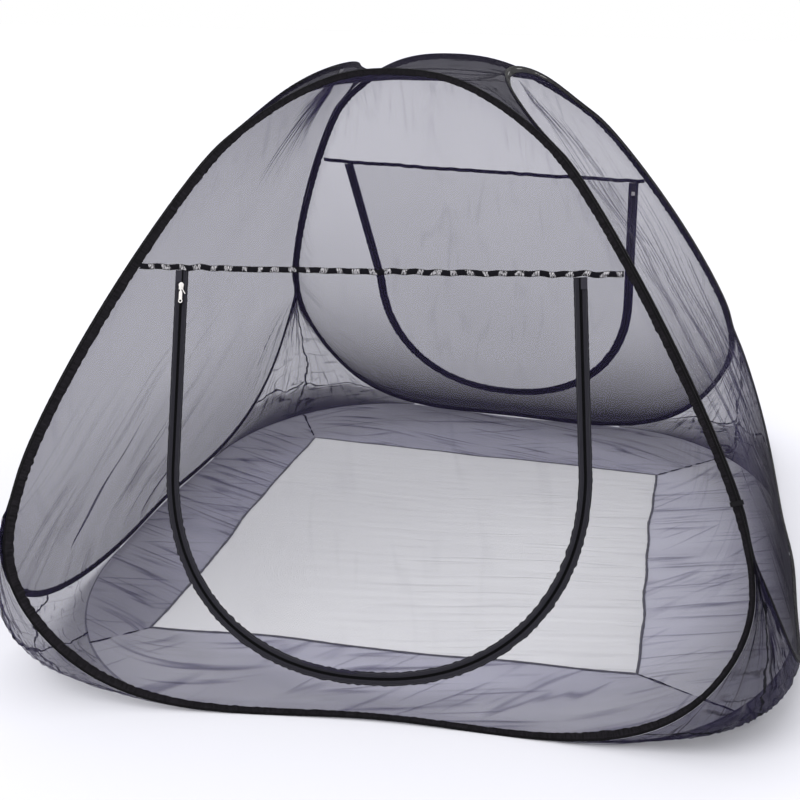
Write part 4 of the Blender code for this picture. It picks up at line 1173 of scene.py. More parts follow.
@dataclass
class DoorWall:
    """A front or back wall: its net, ribbon, zip, flap and slider."""

    plane: DoorPlane
    side: str
    finishes: dict[str, Material]
    seed: int
    low_cover: float
    slack: float
    rows: int = 56
    fine: int = 7

    def __post_init__(self) -> None:
        """Name the two bodies and the ribbon."""
        self.frame_body, self.door_body = f"{self.side}_frame", f"{self.side}_door"
        self.ribbon = f"{self.side}_ribbon_band"

    def lowness(self, grid: Points) -> Points:
        """Return how far down the wall each point is, from 0 at the top to 1 at the floor."""
        return np.clip(1.0 - grid[..., 2] / LOOP_HEIGHT, 0, 1)

    def ring(self, reach: float, corner: float, crown: float) -> Points:
        """Return an outline off the zip, in step with the loop's fine stations.

        Args:
            reach: How far outside the zip's centre line it runs.
            corner: How far down its two top corners are.
            crown: How far down its top edge is.

        Returns:
            Points from the bottom middle round by the loop's first side.
        """
        edge = 2 * (TOP - RIBBON) * self.fine
        halves = []
        for side in (-self.plane.outer_left, self.plane.outer_left):
            line, away = self.plane.half_line(side, RIBBON * self.fine + 1)
            line = line + away * reach
            line[0, 1] = corner
            halves.append(line)
        near, far = halves
        top = [between(near[0], far[0], step / edge) for step in range(1, edge)]
        for point in top:
            point[1] = crown
        return self.plane.place(np.array([*near[::-1], *top, *far[:-1]]))

    def build_net(self) -> Piece:
        """Make the wall's net between the loop and the door."""
        stations = np.arange(STATIONS * self.fine) / self.fine
        loop = self.plane.loop
        tucked = loop.offset(stations, BINDING_WIDTH - NET_TUCK)
        inside = loop.offset(stations, BINDING_WIDTH + NET_LANDING)
        landing = self.ring(NET_SETBACK + DOOR_LANDING, 0.0, -RIBBON_WIDTH - FLAP_TOP_GAP)
        edge = self.ring(NET_SETBACK, -FLAP_TOP_GAP, -FLAP_TOP_GAP)
        grid = between(inside[None], landing[None], np.linspace(0, 1, self.rows)[:, None, None])
        grid = np.concatenate([tucked[None], grid, edge[None]])
        rise, _ = shares_of(*grid.shape[:2])
        fade = np.clip(np.minimum(rise, 1 - rise) * 9 - 0.4, 0, 1)
        low = np.clip(1 - np.minimum(stations, STATIONS - stations) / GROUND / 2, 0, 1)[None]
        fold = WALL_EDGE_COVER * np.exp(-rise * 14) + WALL_FOOT_COVER * low * (1 - rise)
        fold = fold + self.low_cover * self.lowness(grid) ** 3 + self.slack
        pulls = (Drift((0.5, 0.1), (0.5, 0.3), 84, 0.25, 0.05, 0.3),)
        name = f"{self.side}_wall_net"
        cloth = Cloth(f"{name}ting", self.frame_body, name, pulls, 0.0012, self.seed)
        if loop.outward > 0:
            grid, fold = grid[:, ::-1], fold[:, ::-1]
        return cloth.make(grid, self.finishes["net"], ring=True, fade=fade, fold=fold)

    def build_flap(self) -> Piece:
        """Make the door flap's net inside the zip."""
        halves = [self.plane.half_line(side, FLAP_GRID[0]) for side in (-1, 1)]
        left, right = (line - away * NET_SETBACK for line, away in halves)
        left[0, 1] = right[0, 1] = FLAP_TOP_GAP
        shares = np.linspace(0, 1, FLAP_GRID[1])[None, :, None]
        grid = self.plane.place(between(left[:, None], right[:, None], shares))
        pulls = (Drift((0.5, 0.3), (0.7, 0.5), 86, 0.12, 0.09, 0.5),)
        name = f"{self.side}_flap_net"
        cloth = Cloth(f"{name}ting", self.door_body, name, pulls, 0.002, self.seed + 1, "hung")
        cloth.rests_on = (self.ribbon,)
        low = FLAP_LOW_SHARE * self.low_cover * self.lowness(grid)
        slack = low + FLAP_SHARE * self.low_cover + self.slack
        return cloth.make(grid, self.finishes["net"], fold=slack)

    def build_zip(self) -> None:
        """Make the tapes and the coils of the zip."""
        for half, sign in (("wall", 1), ("flap", -1)):
            line, away = self.plane.zip_line(TAPE_TOP_GAP)
            count, down = len(line), line[:, 1]
            beside = (down < WALL_COIL_TOP) & (np.arange(count) <= np.argmax(down))
            near = np.where(beside, SLIDER_HALF_WIDTH + SLIDER_CLEARANCE, 0.0)
            bow = np.clip((down - self.plane.sizes[2]) / 0.1, 0.25, 1)
            waver = mixed_waves(count, self.seed + 20 + sign, *TAPE_RATES)
            far = np.full(count, TAPE_OUTER * sign) + sign * TAPE_WAVER * bow * waver
            lift = np.abs(mixed_waves(count, self.seed + 40 + sign, *TAPE_RATES))
            swell = TAPE_SWELL * bow * lift
            middle, still = (near + far) / 2, np.zeros(count)
            sides = (
                (near, 0.0008, still), (middle, 0.0007, swell), (far, 0.0007, swell),
                (far, 0.0013, swell), (middle, 0.0016, swell), (near, 0.0017, still),
            )
            tape = np.stack([np.stack([side, out + rise], axis=1) for side, out, rise in sides], axis=1)
            places = np.array([0.0, 0.008, TAPE_OUTER, TAPE_OUTER, 0.008, 0.0])
            self.run_zip(half, "tape", (line, away), tape, places)
            angles = np.arange(COIL_SIDES) / COIL_SIDES * math.tau
            reach = COIL_REACH / 2
            round_coil = (sign * reach + reach * np.cos(angles), 0.0014 + 0.0012 * np.sin(angles))
            coil = np.stack(round_coil, axis=1)
            rail = self.plane.zip_line(WALL_COIL_TOP if sign > 0 else TAPE_TOP_GAP)
            self.run_zip(half, "coil", rail, coil, np.abs(coil[:, 0]))

    def run_zip(
        self, half: str, part: str, rail: Pair, profile: Points, places: Points
    ) -> Piece:
        """Run one half's tape or coil along the zip.

        Args:
            half: "wall" or "flap".
            part: "tape" or "coil".
            rail: The line it follows and its outward directions, across and down the plane.
            profile: Its corners.
            places: The place across the cloth of each corner.

        Returns:
            The piece.
        """
        line, away = rail
        sideways = self.plane.place(away) - self.plane.middle
        name = f"{self.side}_{half}_zip_{part}"
        frames = (sideways, self.plane.out)
        piece = sweep(name, self.plane.place(line), frames, profile, self.finishes[part], False, places)
        body = self.frame_body if half == "wall" else self.door_body
        return dress(piece, body, f"{self.side}_{half}_{part}")

    def build_ribbon(self) -> Piece:
        """Make the ribbon over the door, a little slack between its stitches."""
        count, reach = RIBBON_POINTS, RIBBON_WIDTH / 2
        left, right = (self.lip(side) for side in (-1, 1))
        share = np.linspace(0, 1, count)
        sway = RIBBON_SWAY * mixed_waves(count, self.seed + 30, 3, 26, 12)
        sway = sway + RIBBON_SAG * np.sin(math.pi * share) ** RIBBON_SAG_POWER
        lift = RIBBON_LIFT + RIBBON_LIFT * np.abs(mixed_waves(count, self.seed + 31, 10, 60, 12))
        flat = np.stack([between(left + RIBBON_GAP, right - RIBBON_GAP, share), -reach + sway], axis=1)
        path = self.plane.place(flat, RIBBON_OUT + lift)
        under = [(-reach, -0.0004), (0.0, -0.0005), (reach, -0.0004)]
        corners = np.array(under + [(reach, 0.0003), (0.0, 0.0006), (-reach, 0.0003)])
        material = self.finishes["ribbon" if self.side == "front" else "plain_ribbon"]
        frames = (self.plane.down, self.plane.out)
        piece = sweep(self.ribbon, path, frames, corners, material, False, corners[:, 0])
        return dress(piece, self.frame_body, f"{self.side}_ribbon")

    def lip(self, side: int) -> float:
        """Return the place across of the binding's inner edge at the ribbon, on one side."""
        stations = np.linspace(RIBBON - 1, PART, LIP_POINTS)
        if side * -self.plane.outer_left < 0:
            stations = STATIONS - stations
        edge = self.plane.loop.offset(stations, BINDING_WIDTH) - self.plane.middle
        across, down = edge @ self.plane.across, edge @ self.plane.down
        order = np.argsort(down)
        return float(np.interp(-RIBBON_WIDTH / 2, down[order], across[order]))

    def build(self) -> None:
        """Make all of the wall."""
        self.build_net()
        self.build_flap()
        self.build_zip()
        self.build_ribbon()
        ZipHardware(self.plane, self.side, self.finishes["metal"]).build()


@dataclass
class ZipHardware:
    """A zip's slider and the pull that hangs from it."""

    plane: DoorPlane
    side: str
    metal: Material

    def solid(self, size: Sequence[float], *place: float) -> Piece:
        """Add a box of three sizes, or a disc of a radius and a depth, in a place."""
        bpy.ops.object.select_all(action="DESELECT")
        if len(size) == 3:
            bpy.ops.mesh.primitive_cube_add(size=1.0, location=(0.0, 0.0, 0.0))
        else:
            bpy.ops.mesh.primitive_cylinder_add(vertices=DISC_SIDES, radius=size[0], depth=size[1])
        piece = bpy.context.object
        stretch = Matrix.Diagonal((*size, 1.0)) if len(size) == 3 else Matrix.Identity(4)
        piece.data.transform(Matrix.Translation(Vector(place)) @ stretch)
        return piece

    def apply(self, piece: Piece, kind: str, **settings: Any) -> None:
        """Work a modifier into a piece."""
        change = piece.modifiers.new(kind, kind)
        for key, value in settings.items():
            setattr(change, key, value)
        bpy.context.view_layer.objects.active = piece
        bpy.ops.object.modifier_apply(modifier=change.name)

    def combine(self, body: Piece, how: str, others: Iterable[Piece]) -> None:
        """Join other pieces to a body, or cut them from it."""
        for other in others:
            self.apply(body, "BOOLEAN", operation=how, object=other, solver="EXACT")
            bpy.data.objects.remove(other, do_unlink=True)

    def complete(self, piece: Piece, kind: str, out: float) -> Piece:
        """Args:
            piece: The piece.
            kind: "slider" or "pull".
            out: How far out of the door it stands.

        Returns:
            The piece.
        """
        self.apply(piece, "BEVEL", width=METAL_EDGE, segments=3, limit_method="ANGLE")
        piece.name = f"{self.side}_zip_{kind}"
        piece.data.materials.clear()
        piece.data.materials.append(self.metal)
        piece.data.polygons.foreach_set("use_smooth", [False] * len(piece.data.polygons))
        centre = self.plane.place(np.array((self.plane.sizes[0], SLIDER_MIDDLE)), out)
        turn = Matrix((self.plane.across, -self.plane.down, self.plane.out)).transposed().to_4x4()
        piece.data.transform(Matrix.Translation(Vector(centre)) @ turn)
        piece.data.update()
        return dress(piece, f"{self.side}_{kind}", f"{self.side}_{kind}")

    def build_slider(self) -> Piece:
        """Make the slider: two plates with turned edges, the bridge and the bail."""
        half, low, high, thick = SLIDER_HALF_WIDTH, SLIDER_LOW, SLIDER_HIGH, SLIDER_PLATE
        length = SLIDER_BOTTOM - SLIDER_TOP
        plate = self.solid((2 * half, length, thick), 0.0, 0.0, high + thick / 2)
        head = self.solid((half * 1.15, thick * 1.1), 0.0, length * 0.28, high + thick / 2)
        under = self.solid((2 * half, length, thick), 0.0, 0.0, low - thick / 2)
        bridge = self.solid((0.0018, 0.004, high - low + thick), 0.0, length / 2 - 0.003, (low + high) / 2)
        flanges = [
            self.solid((0.0011, length * 0.8, 0.0007), side * (half - 0.0006), 0.0, place)
            for side in (-1, 1)
            for place in (low + 0.0002, high - 0.0002)
        ]
        bail = self.solid((0.002, 0.0066, 0.0032), 0.0, 0.0, high + thick + 0.0014)
        window = self.solid((0.004, 0.0046, 0.0021), 0.0, 0.0, high + thick + 0.00115)
        self.combine(bail, "DIFFERENCE", [window])
        self.combine(plate, "UNION", [head, bail])
        self.combine(under, "UNION", [bridge])
        self.combine(plate, "UNION", [under, *flanges])
        return self.complete(plate, "slider", 0.0)

    def build_pull(self) -> Piece:
        """Make the pull: an eye, a slim neck, a plate with a round foot and a hole in it."""
        thick, foot = PULL_THICK, PULL_FOOT
        end = -PULL_LENGTH + foot
        eye = self.solid((0.0044, thick), 0.0, -0.0016, 0.0)
        neck = self.solid((0.0036, 0.014, thick), 0.0, -0.009, 0.0)
        plate = self.solid((0.0082, 0.018, thick), 0.0, end + 0.0115, 0.0)
        round_foot = self.solid((foot, thick), 0.0, end, 0.0)
        shoulder = self.solid((0.0041, thick), 0.0, end + 0.0205, 0.0)
        tab = self.solid((0.0022, 0.021, thick), 0.0, -0.0105, 0.0)
        tab.data.transform(Matrix.Rotation(math.radians(33), 4, "Z"))
        self.combine(eye, "UNION", [neck, plate, round_foot, shoulder, tab])
        hole = self.solid((0.0029, 4 * thick), 0.0, end, 0.0)
        slot = self.solid((0.0022, 0.0022, 4 * thick), 0.0, -0.0018, 0.0)
        self.combine(eye, "DIFFERENCE", [hole, slot])
        return self.complete(eye, "pull", PULL_OUT)

    def build(self) -> None:
        """Make both pieces."""
        self.build_slider()
        self.build_pull()


@dataclass
class SideWall:
    """A left or right wall's net."""

    loop: Loop
    pulls: tuple[Pull, ...]
    seed: int
    low_cover: float
    cover: float
    fall: float = 0.0
    rows: int = 230
    columns: int = 170

    def halves(self, count: int, inward: float) -> Pair:
        """Return points up the loop's front half and up its back half."""
        rise = np.linspace(0.0, TOP, count)
        return self.loop.offset(rise, inward), self.loop.offset(STATIONS - rise, inward)

    def build(self, material: Material) -> Piece:
        """Make the wall's net, tight between the loop's front and back halves."""
        high, wide = SIDE_COARSE
        front, back = self.halves(high, BINDING_WIDTH + SIDE_LANDING)
        grid = between(front[:, None], back[:, None], np.linspace(0, 1, wide)[None, :, None])
        grid = refined(tighten(grid, SIDE_ROUNDS), np.linspace(0.0, high - 1, self.rows), self.columns)
        front, back = self.halves(self.rows, BINDING_WIDTH - NET_TUCK)
        grid = np.concatenate([front[:, None], grid, back[:, None]], axis=1)[1:-1]
        along, across = shares_of(*grid.shape[:2])
        low = np.clip(1 - along / LOW_COVER_TOP, 0, 1) ** 0.8
        fold = self.cover + self.fall * (1 - along) + self.low_cover * low
        fold = fold + 0.10 * np.clip(along * 4 - 3, 0, 1)
        edge = np.minimum(across, 1 - across) * 14
        fade = np.clip(edge - 0.3, 0, 1) * np.clip(np.minimum(along, 1 - along) * 16, 0, 1)
        name = f"{self.loop.name}_wall_net"
        cloth = Cloth(f"{name}ting", f"{self.loop.name}_frame", name, self.pulls, 0.0026, self.seed)
        return cloth.make(grid, material, fade=fade, fold=fold)


@dataclass
class Roof:
    """The roof's net between the four loops' tops."""

    loops: dict[str, Loop]
    count: int = 90

    def edge(self, name: str, first: float, last: float) -> Points:
        """Return points along a loop's outer edge, between two stations."""
        return self.loops[name].offset(np.linspace(first, last, self.count), -NET_EDGE)

    def build(self, material: Material) -> Piece:
        """Make the roof."""
        far = STATIONS - PART
        front, back = (self.edge(name, far, PART) for name in ("front", "back"))
        left, right = (self.edge(name, PART, far) for name in ("left", "right"))
        for one, end in ((front, 0), (back, -1)):
            for other, place in ((left, 0), (right, -1)):
                one[place] = other[end] = (one[place] + other[end]) / 2
        down, across = (share[..., None] for share in shares_of(self.count, self.count))
        lengthwise = between(front[None], back[None], down)
        grid = (lengthwise + between(left[:, None], right[:, None], across)) / 2
        grid[0], grid[-1], grid[:, 0], grid[:, -1] = front, back, left, right
        grid = tighten(grid, ROOF_ROUNDS)
        grid[..., 2] -= ROOF_SAG * (np.sin(math.pi * down[..., 0]) * np.sin(math.pi * across[..., 0]))
        pulls = (Drift((0.5, 0.5), (0.8, 0.8), 4, 0.6, 0.07), Fan((0.0, 0.0), 0.5, 45, 50, 0.6))
        cloth = Cloth("roof_netting", "front_frame", "roof_net", pulls, 0.002, 11, slot=Slot.ROOF)
        piece = cloth.make(grid[:, ::-1], material)
        gather_at_front(piece, float(grid[0, :, 1].mean()))
        return piece


@dataclass
class FloorCloth:
    """The floor: its four net strips, the woven panel, the hem and the corner nets."""

    loops: dict[str, Loop]
    finishes: dict[str, Material]

    @property
    def front_edge(self) -> float:
        """Return how far along Y the floor's front edge is."""
        return float(self.edge(self.loops["front"], np.array(0.0))[1])

    def edge(self, loop: Loop, stations: Any) -> Points:
        """Return the floor's outline beside a loop's bottom."""
        level = unit(loop.axes(stations)[1] * (1.0, 1.0, 0.0))
        points = loop.offset(stations, 0.0) + FLOOR_EDGE_SHARE * BEAD_REACH * level
        points[..., 2] = FLOOR_RISE
        return points

    def arc(self, start: Points, end: Points, count: int) -> Points:
        """Return the quarter oval that rounds a floor corner."""
        angle = np.linspace(0, math.pi / 2, count)
        x = start[0] + (end[0] - start[0]) * np.sin(angle)
        y = end[1] + (start[1] - end[1]) * np.cos(angle)
        return np.stack([x, y, np.full(count, FLOOR_RISE)], axis=1)

    def panel_corners(self) -> list[Points]:
        """Return the panel's corners, front left first."""
        low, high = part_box("floor_panel")
        centre = ((low[0] + high[0]) / 2, (low[1] + high[1]) / 2)
        corners = []
        for x_sign, y_sign in ((-1, -1), (1, -1), (1, 1), (-1, 1)):
            taper = side_taper(PANEL_CENTRE[0] + x_sign * PANEL_WIDTH / 2)
            deep = centre[1] + y_sign * (PANEL_LENGTH / 2 * taper)
            corners.append(np.array((centre[0] + x_sign * (PANEL_WIDTH / 2), deep, FLOOR_RISE)))
        return corners

    def panel_edge(self, corners: list[Points], number: int, count: int) -> Points:
        """Return one edge of the panel, drawn in and out a little by its seam."""
        start, end = corners[number], corners[(number + 1) % 4]
        share = np.linspace(0, 1, count)
        out = unit(np.cross(end - start, (0.0, 0.0, 1.0)))
        draw = np.random.default_rng(PANEL_SEED + number)
        sway = np.zeros(count)
        for wave in PANEL_WAVES:
            sway += draw.uniform(-1, 1) * np.sin(math.pi * wave * share) / wave**0.7
        sway = PANEL_SWAY * sway * np.sin(math.pi * share) ** 0.3
        return between(start, end, share[:, None]) + sway[:, None] * out

    def build(self) -> None:
        """Make the floor and the corner nets."""
        fine, names = FLOOR_FINE, ("front", "right", "back", "left")
        count = 2 * fine + 1
        flat = np.linspace(-GROUND, GROUND, count)
        turned = {"front": 1, "right": -1, "back": -1, "left": 1}
        sides = {name: self.edge(self.loops[name], turned[name] * flat) for name in names}
        arcs = [
            self.arc(sides["front"][0], sides["left"][-1], count)[::-1],
            self.arc(sides["front"][-1], sides["right"][0], count),
            self.arc(sides["back"][0], sides["right"][-1], count)[::-1],
            self.arc(sides["back"][-1], sides["left"][0], count),
        ]
        corners = self.panel_corners()
        edges = []
        for number, side in enumerate(names):
            before, after = arcs[number], arcs[(number + 1) % 4]
            outer = np.concatenate([before[fine:-1], sides[side], after[1 : fine + 1]])
            inner = self.panel_edge(corners, number, len(outer))
            edges.append(inner)
            rows = np.linspace(0, 1, STRIP_ROWS)[:, None, None]
            self.build_strip(side, between(outer[None], inner[None], rows), number)
        self.build_panel(edges)
        self.build_hem(edges)
        for door, y_sign in (("front", -1), ("back", 1)):
            for flank, x_sign in (("left", -1), ("right", 1)):
                self.build_corner(self.loops[door], x_sign, self.loops[flank], y_sign)

    def build_laid(self, cloth: Cloth, grid: Points, **looks: Any) -> Piece:
        """Make a cloth that lies on the floor."""
        piece = cloth.make(grid, **looks)
        gather_at_front(piece, self.front_edge)
        return piece

    def build_strip(self, side: str, grid: Points, number: int) -> Piece:
        """Make one net strip of the floor, with the slack folds that cross it."""
        across = lengths_of(grid)[..., 0]
        ends = np.minimum(across - across[:, :1], across[:, -1:] - across)
        turn = FLOOR_TURNS[side]
        pulls = (
            Drift((0.5, 0.5), (0.9, 1.2), turn, 0.85, 0.05, 0.9),
            Drift((0.5, 0.4), (1.2, 1.2), turn + 32, 0.6, 0.08, 0.8),
            Drift((0.5, 0.5), (0.9, 1.2), turn, 0.5, 0.06, 0.8),
        )
        name = f"floor_net_{side}"
        cloth = Cloth(
            f"floor_netting_{side}", "front_frame", name, pulls, 0.0005, 80 + number, "laid", lifted=True
        )
        fold = np.full(grid.shape[:2], FLOOR_COVERS[side])
        return self.build_laid(cloth, grid, material=self.finishes["floor_net"], fold=fold, seam=ends)

    def build_panel(self, edges: list[Points]) -> Piece:
        """Make the woven panel, with thin slack folds across it."""
        count = len(edges[0])
        turned = [edge[::-1] for edge in edges[2:]]
        front, right, back, left = (self.evened(edge, count) for edge in (*edges[:2], *turned))
        deep, wide = (share[..., None] for share in shares_of(count, count))
        corners = between(between(front[0], front[-1], wide), between(back[0], back[-1], wide), deep)
        lengthwise = between(front[None], back[None], deep)
        crosswise = between(left[:, None], right[:, None], wide)
        grid = lengthwise + crosswise - corners
        grid = refined(grid, np.linspace(0, count - 1, PANEL_GRID), PANEL_GRID)
        pulls = (
            Drift((0.95, 0.35), (0.6, 0.7), 10, 1.0, 0.055, 0.9),
            Drift((0.2, 0.8), (0.7, 0.5), 1, 0.35, 0.05, 0.9),
        )
        name = "floor_panel"
        cloth = Cloth(
            f"{name}_cloth", "front_frame", name, pulls, 0.0006, 92, "laid", Slot.PANEL, lifted=True
        )
        return self.build_laid(cloth, grid, material=self.finishes["panel"])

    @staticmethod
    def evened(points: Points, count: int) -> Points:
        """Return a run of points with another count."""
        return resampled(points, np.linspace(0, len(points) - 1, count), np.arange(len(points)))

    def build_hem(self, edges: list[Points]) -> Piece:
        """Make the thin hem over the panel's seam."""
        path = np.concatenate([self.evened(edge, HEM_POINTS)[:-1] for edge in edges])
        path[:, 2] = FLOOR_RISE + 0.001
        ahead = unit(np.roll(path, -2, axis=0) - np.roll(path, 2, axis=0))
        up = np.array((0.0, 0.0, 1.0))
        reach = HEM_WIDTH / 2
        top = [(reach, 0.0005), (0.0, 0.0009), (-reach, 0.0005)]
        corners = np.array([(-reach, 0.0), (0.0, 0.0), (reach, 0.0)] + top)
        profile = np.broadcast_to(corners, (len(path), *corners.shape)).copy()
        profile[..., 0] *= (1 + HEM_WAVER * mixed_waves(len(path), 77, 20, 160))[:, None]
        frames = (unit(np.cross(ahead, up)), up)
        piece = sweep("floor_hem_band", path, frames, profile, self.finishes["hem"], True, corners[:, 0])
        gather_at_front(piece, self.front_edge)
        return dress(piece, "front_frame", "floor_hem")

    def build_corner(self, door: Loop, x_sign: int, flank: Loop, y_sign: int) -> Piece:
        """Make the net of a floor corner, from the notch of the loops down to the floor.

        Args:
            door: The front or back loop.
            x_sign: Which side of it the corner is on.
            flank: The left or right loop.
            y_sign: Which end of it the corner is at.

        Returns:
            The piece.
        """
        rows, columns = CORNER_GRID
        stations = np.linspace(JOIN, GROUND, rows)
        door_edge = door.offset(stations if x_sign > 0 else STATIONS - stations, -NET_EDGE)
        flank_edge = flank.offset(stations if y_sign < 0 else STATIONS - stations, -NET_EDGE)
        start = self.edge(door, np.array(GROUND if x_sign > 0 else STATIONS - GROUND))
        end = self.edge(flank, np.array(GROUND if y_sign < 0 else STATIONS - GROUND))
        arc = self.arc(start, end, columns) + (-x_sign * ARC_INSET, -y_sign * ARC_INSET, 0.001)
        body, bend = "left_frame", None
        if y_sign < 0:
            body = "front_frame"
            bend = Bend(f"{flank.name}_frame", between(start, end, 0.25), between(start, end, 0.75))
        elif x_sign > 0:
            body = "right_frame"
            bend = Bend("back_frame", between(end, start, 0.25), between(end, start, 0.75))
        along, across = shares_of(rows, columns)
        grid = between(door_edge[:, None], flank_edge[:, None], across[..., None])
        bulge = arc - grid[-1]
        bulge[0] = bulge[-1] = 0.0
        grid = tighten(grid + along[..., None] ** 2 * bulge[None], CORNER_ROUNDS)
        place = lengths_of(grid)
        line = place[..., 0] - place[:, :1, 0] - 0.5 * (place[:, -1:, 0] - place[:, :1, 0])
        zigzag = np.abs((place[..., 0] / ZIGZAG_PITCH) % 2 - 1) * ZIGZAG_HEIGHT
        low = place[..., 1] - place[-1:, :, 1] * LOW_SEAM_SHARE + zigzag
        seam = 0.6 * np.where(np.abs(line) < np.abs(low), line, low)
        corner = f"{door.name}_{flank.name}"
        fold = NOTCH_COVER * np.exp(-along * 5) + CORNER_COVERS[corner]
        if y_sign > 0:
            fold = fold + BELOW_SEAM_COVER * np.clip(low * 30, 0, 1)
        pulls = (
            Fan((0.5, 0.0), 0.7, 90, 60, 1.2, 20.0),
            Drift((0.5, 0.9), (0.8, 0.5), 20, 0.8, 0.05, 0.2),
            Fan((0.5, 0.0), 0.9, 90, 60, 0.45, 7.0),
        )
        name = f"corner_netting_{corner}"
        cloth = Cloth(name, body, f"gusset_{corner}", pulls, 0.0012, 30, "gathered", bend=bend)
        if x_sign * y_sign > 0:
            grid, seam, fold = grid[:, ::-1], seam[:, ::-1], fold[:, ::-1]
        return cloth.make(grid, self.finishes["net"], seam=seam, fold=fold)


@dataclass
class Studio:
    """The floor, the light and the camera."""

    strength: float = 1.5
    # The floor's colour under the tent is painted lighter than outside, painted light against the nets'
    # shade.
    inner: Colour = (0.69, 0.69, 0.78)
    outer: Colour = (0.56, 0.56, 0.6)
    sun: float = 1.7

    def build(self) -> None:
        """Set the stage."""
        scene = bpy.context.scene
        scene.view_settings.view_transform = "Standard"
        scene.cycles.transparent_max_bounces = 48
        self.build_world()
        self.build_sun()
        self.build_floor()
        self.build_camera()

    def build_world(self) -> None:
        """Light everything evenly, with plain white behind."""
        world = bpy.data.worlds.new("studio")
        bpy.context.scene.world = world
        world.use_nodes = True
        tree = world.node_tree
        background = tree.nodes["Background"]
        background.inputs["Color"].default_value = (1.0, 1.0, 1.0, 1.0)
        seen = Signal(tree, tree.nodes.new("ShaderNodeLightPath").outputs["Is Camera Ray"])
        connect(tree, seen * (1.0 - self.strength) + self.strength, background.inputs["Strength"])

    def build_sun(self) -> None:
        """Hang the wide main light, up to the front left."""
        data = bpy.data.lights.new("main_light", "SUN")
        data.energy = self.sun
        data.angle = math.radians(SUN_WIDTH)
        light = bpy.data.objects.new("main_light", data)
        bpy.context.collection.objects.link(light)
        light.rotation_euler = (math.radians(SUN_TILT), 0.0, math.radians(SUN_TURN))

    def build_floor(self) -> None:
        """Lay the pale floor, painted lighter under the tent against the shade the nets cast there."""
        bpy.ops.object.select_all(action="DESELECT")
        bpy.ops.mesh.primitive_plane_add(size=STAGE_SIZE, location=(0.0, 0.0, STAGE_DEPTH))
        floor = bpy.context.object
        floor.name = "studio_floor"
        shader = Shader("studio_floor")
        parts = shader.node("ShaderNodeTexCoord", output="Object").split()
        across, deep = (part * (1 / reach) for part, reach in zip(parts, STAGE_REACH))
        away = ((across * across + deep * deep - STAGE_START) * STAGE_SLOPE).held()
        # Painted light: the floor's colour is lighter under the tent and fades to the plain floor outside.
        look = shader.mix(away, self.inner, self.outer)
        floor.data.materials.append(shader.finish(Base_Color=look, Roughness=1.0, Specular_IOR_Level=0.0))

    def build_camera(self) -> None:
        """Stand the camera where the photograph was taken."""
        yaw, pitch, roll = (math.radians(turn) for turn in CAMERA_TURNS)
        level = math.cos(pitch)
        ahead = np.array((-math.sin(yaw) * level, math.cos(yaw) * level, -math.sin(pitch)))
        right = np.array((math.cos(yaw), math.sin(yaw), 0.0))
        up = np.cross(right, ahead)
        right, up = (
            math.cos(roll) * right + math.sin(roll) * up,
            -math.sin(roll) * right + math.cos(roll) * up,
        )
        data = bpy.data.cameras.new("camera")
        data.sensor_width = SENSOR_MM
        data.lens = CAMERA_FOCAL / FRAME_PIXELS * SENSOR_MM
        camera = bpy.data.objects.new("camera", data)
        bpy.context.collection.objects.link(camera)
        turn = Matrix((right, up, -ahead)).transposed().to_4x4()
        camera.matrix_world = Matrix.Translation(Vector(CAMERA_PLACE)) @ turn
        bpy.context.scene.camera = camera


def finish_table() -> dict[str, Material]:
    """Return every finish by name."""
    floor_net = NetFinish("floor_netting", (0.05, 0.045, 0.11), cover=0.14, shine=0.1)
    looks = {
        "net": NetFinish("wall_netting"),
        "roof": NetFinish("roof_netting", cover=0.88),
        "floor_net": floor_net,
        "binding": BindingFinish("black_binding"),
        # The hem takes the binding's finish, with its painted sheen on the puckers.
        "hem": BindingFinish("panel_hem", (0.14, 0.14, 0.16), (0.26, 0.26, 0.28)),
        "tape": TapeFinish("zip_tape"),
        "coil": CoilFinish("zip_coil"),
        "ribbon": RibbonFinish("patterned_ribbon"),
        "plain_ribbon": RibbonFinish("plain_ribbon", pale=0.1),
        "panel": PanelFinish("white_panel"),
        "metal": MetalFinish("bright_metal", (0.6, 0.58, 0.57), 0.22),
        "steel": MetalFinish("spring_wire", (0.35, 0.34, 0.34), 0.38),
        "crimp": MetalFinish("dark_crimp", (0.02, 0.02, 0.022), 0.45),
    }
    return {key: look.build() for key, look in looks.items()}


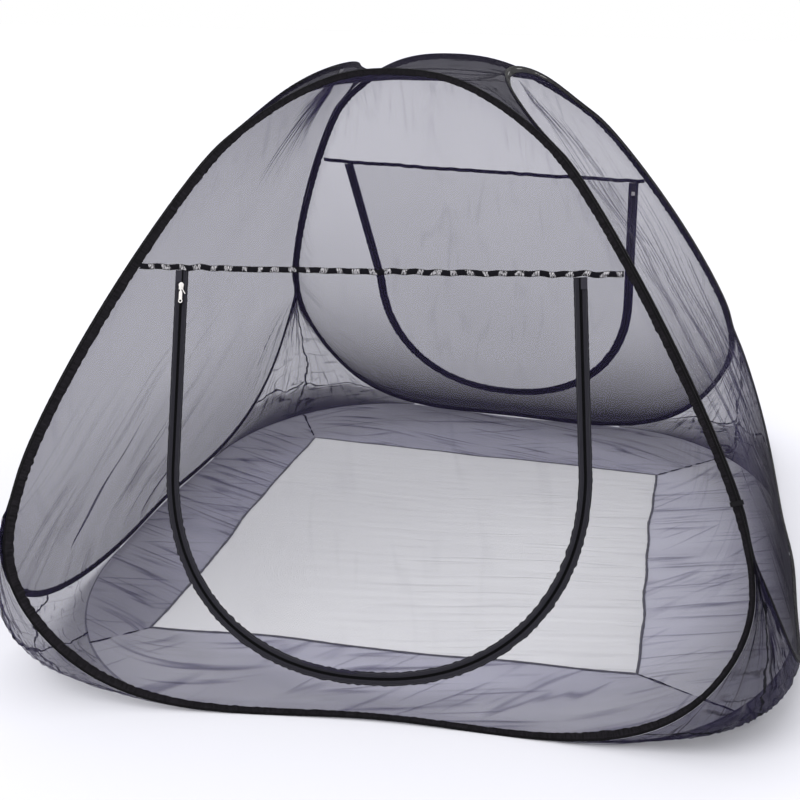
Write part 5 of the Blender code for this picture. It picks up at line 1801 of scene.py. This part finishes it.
def finish_carried_pieces(finishes: dict[str, Material]) -> None:
    """Give the pieces kept from the frame their finishes."""
    endings = {"_end_tab": "tape", "_ferrule": "crimp", "tie_tab": "binding"}
    for node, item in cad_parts.items():
        keys = [key for ending, key in endings.items() if node.endswith(ending)]
        for slot in item.material_slots:
            slot.material = finishes[keys[0] if keys else "steel"]


# Each door's name, the sign of X on its left from outside, its shares, its seed, and how much more
# its net covers low down and all over.
DOORS = (
    ("front", -1, (-0.769, 0.784, 0.459, 0.932, 0.0, 0.044), 3, 0.03, 0.11),
    ("back", 1, (-0.882, 0.794, 0.454, 0.903, 0.0, -0.122), 4, 0.58, 0.32),
)
LEFT_PULLS = (
    Fan((1.0, JOIN / TOP), 0.75, 246, 30, 1.1, 15.0),
    Fan((0.5, 1.0), 0.6, 265, 40, 0.4, 14.0),
    Drift((0.25, 0.16), (0.55, 0.36), 38, 1.1, 0.09, 1.2),
)
RIGHT_PULLS = (
    Fan((0.3, 1.0), 1.7, 268, 26, 0.17, 34.0),
    Drift((0.3, 0.08), (0.8, 0.2), 70, 0.35, 0.06, 0.7),
    Drift((0.65, 0.55), (0.4, 0.4), 84, 0.5, 0.024, 0.4),
)


def main() -> None:
    """Build the tent's look piece by piece."""
    logging.basicConfig(level=logging.INFO, format="%(name)s: %(message)s")
    finishes = finish_table()
    loops = frame_loops()
    for name, loop in loops.items():
        widths = FRONT_SLEEVE_SHARES if name == "front" else EVEN_SLEEVE_SHARES
        WireSleeve(loop, SLEEVE_WIDTHS[name], widths).build(finishes["binding"])
    for side, outer_left, shares, seed, low_cover, slack in DOORS:
        plane = DoorPlane(loops[side], outer_left, shares)
        DoorWall(plane, side, finishes, seed, low_cover, slack).build()
    SideWall(loops["left"], LEFT_PULLS, 6, low_cover=0.13, cover=0.48).build(finishes["net"])
    SideWall(loops["right"], RIGHT_PULLS, 7, low_cover=0.7, cover=0.08, fall=0.3).build(finishes["net"])
    Roof(loops).build(finishes["roof"])
    FloorCloth(loops, finishes).build()
    finish_carried_pieces(finishes)
    Studio().build()


if __name__ == "__main__":
    main()
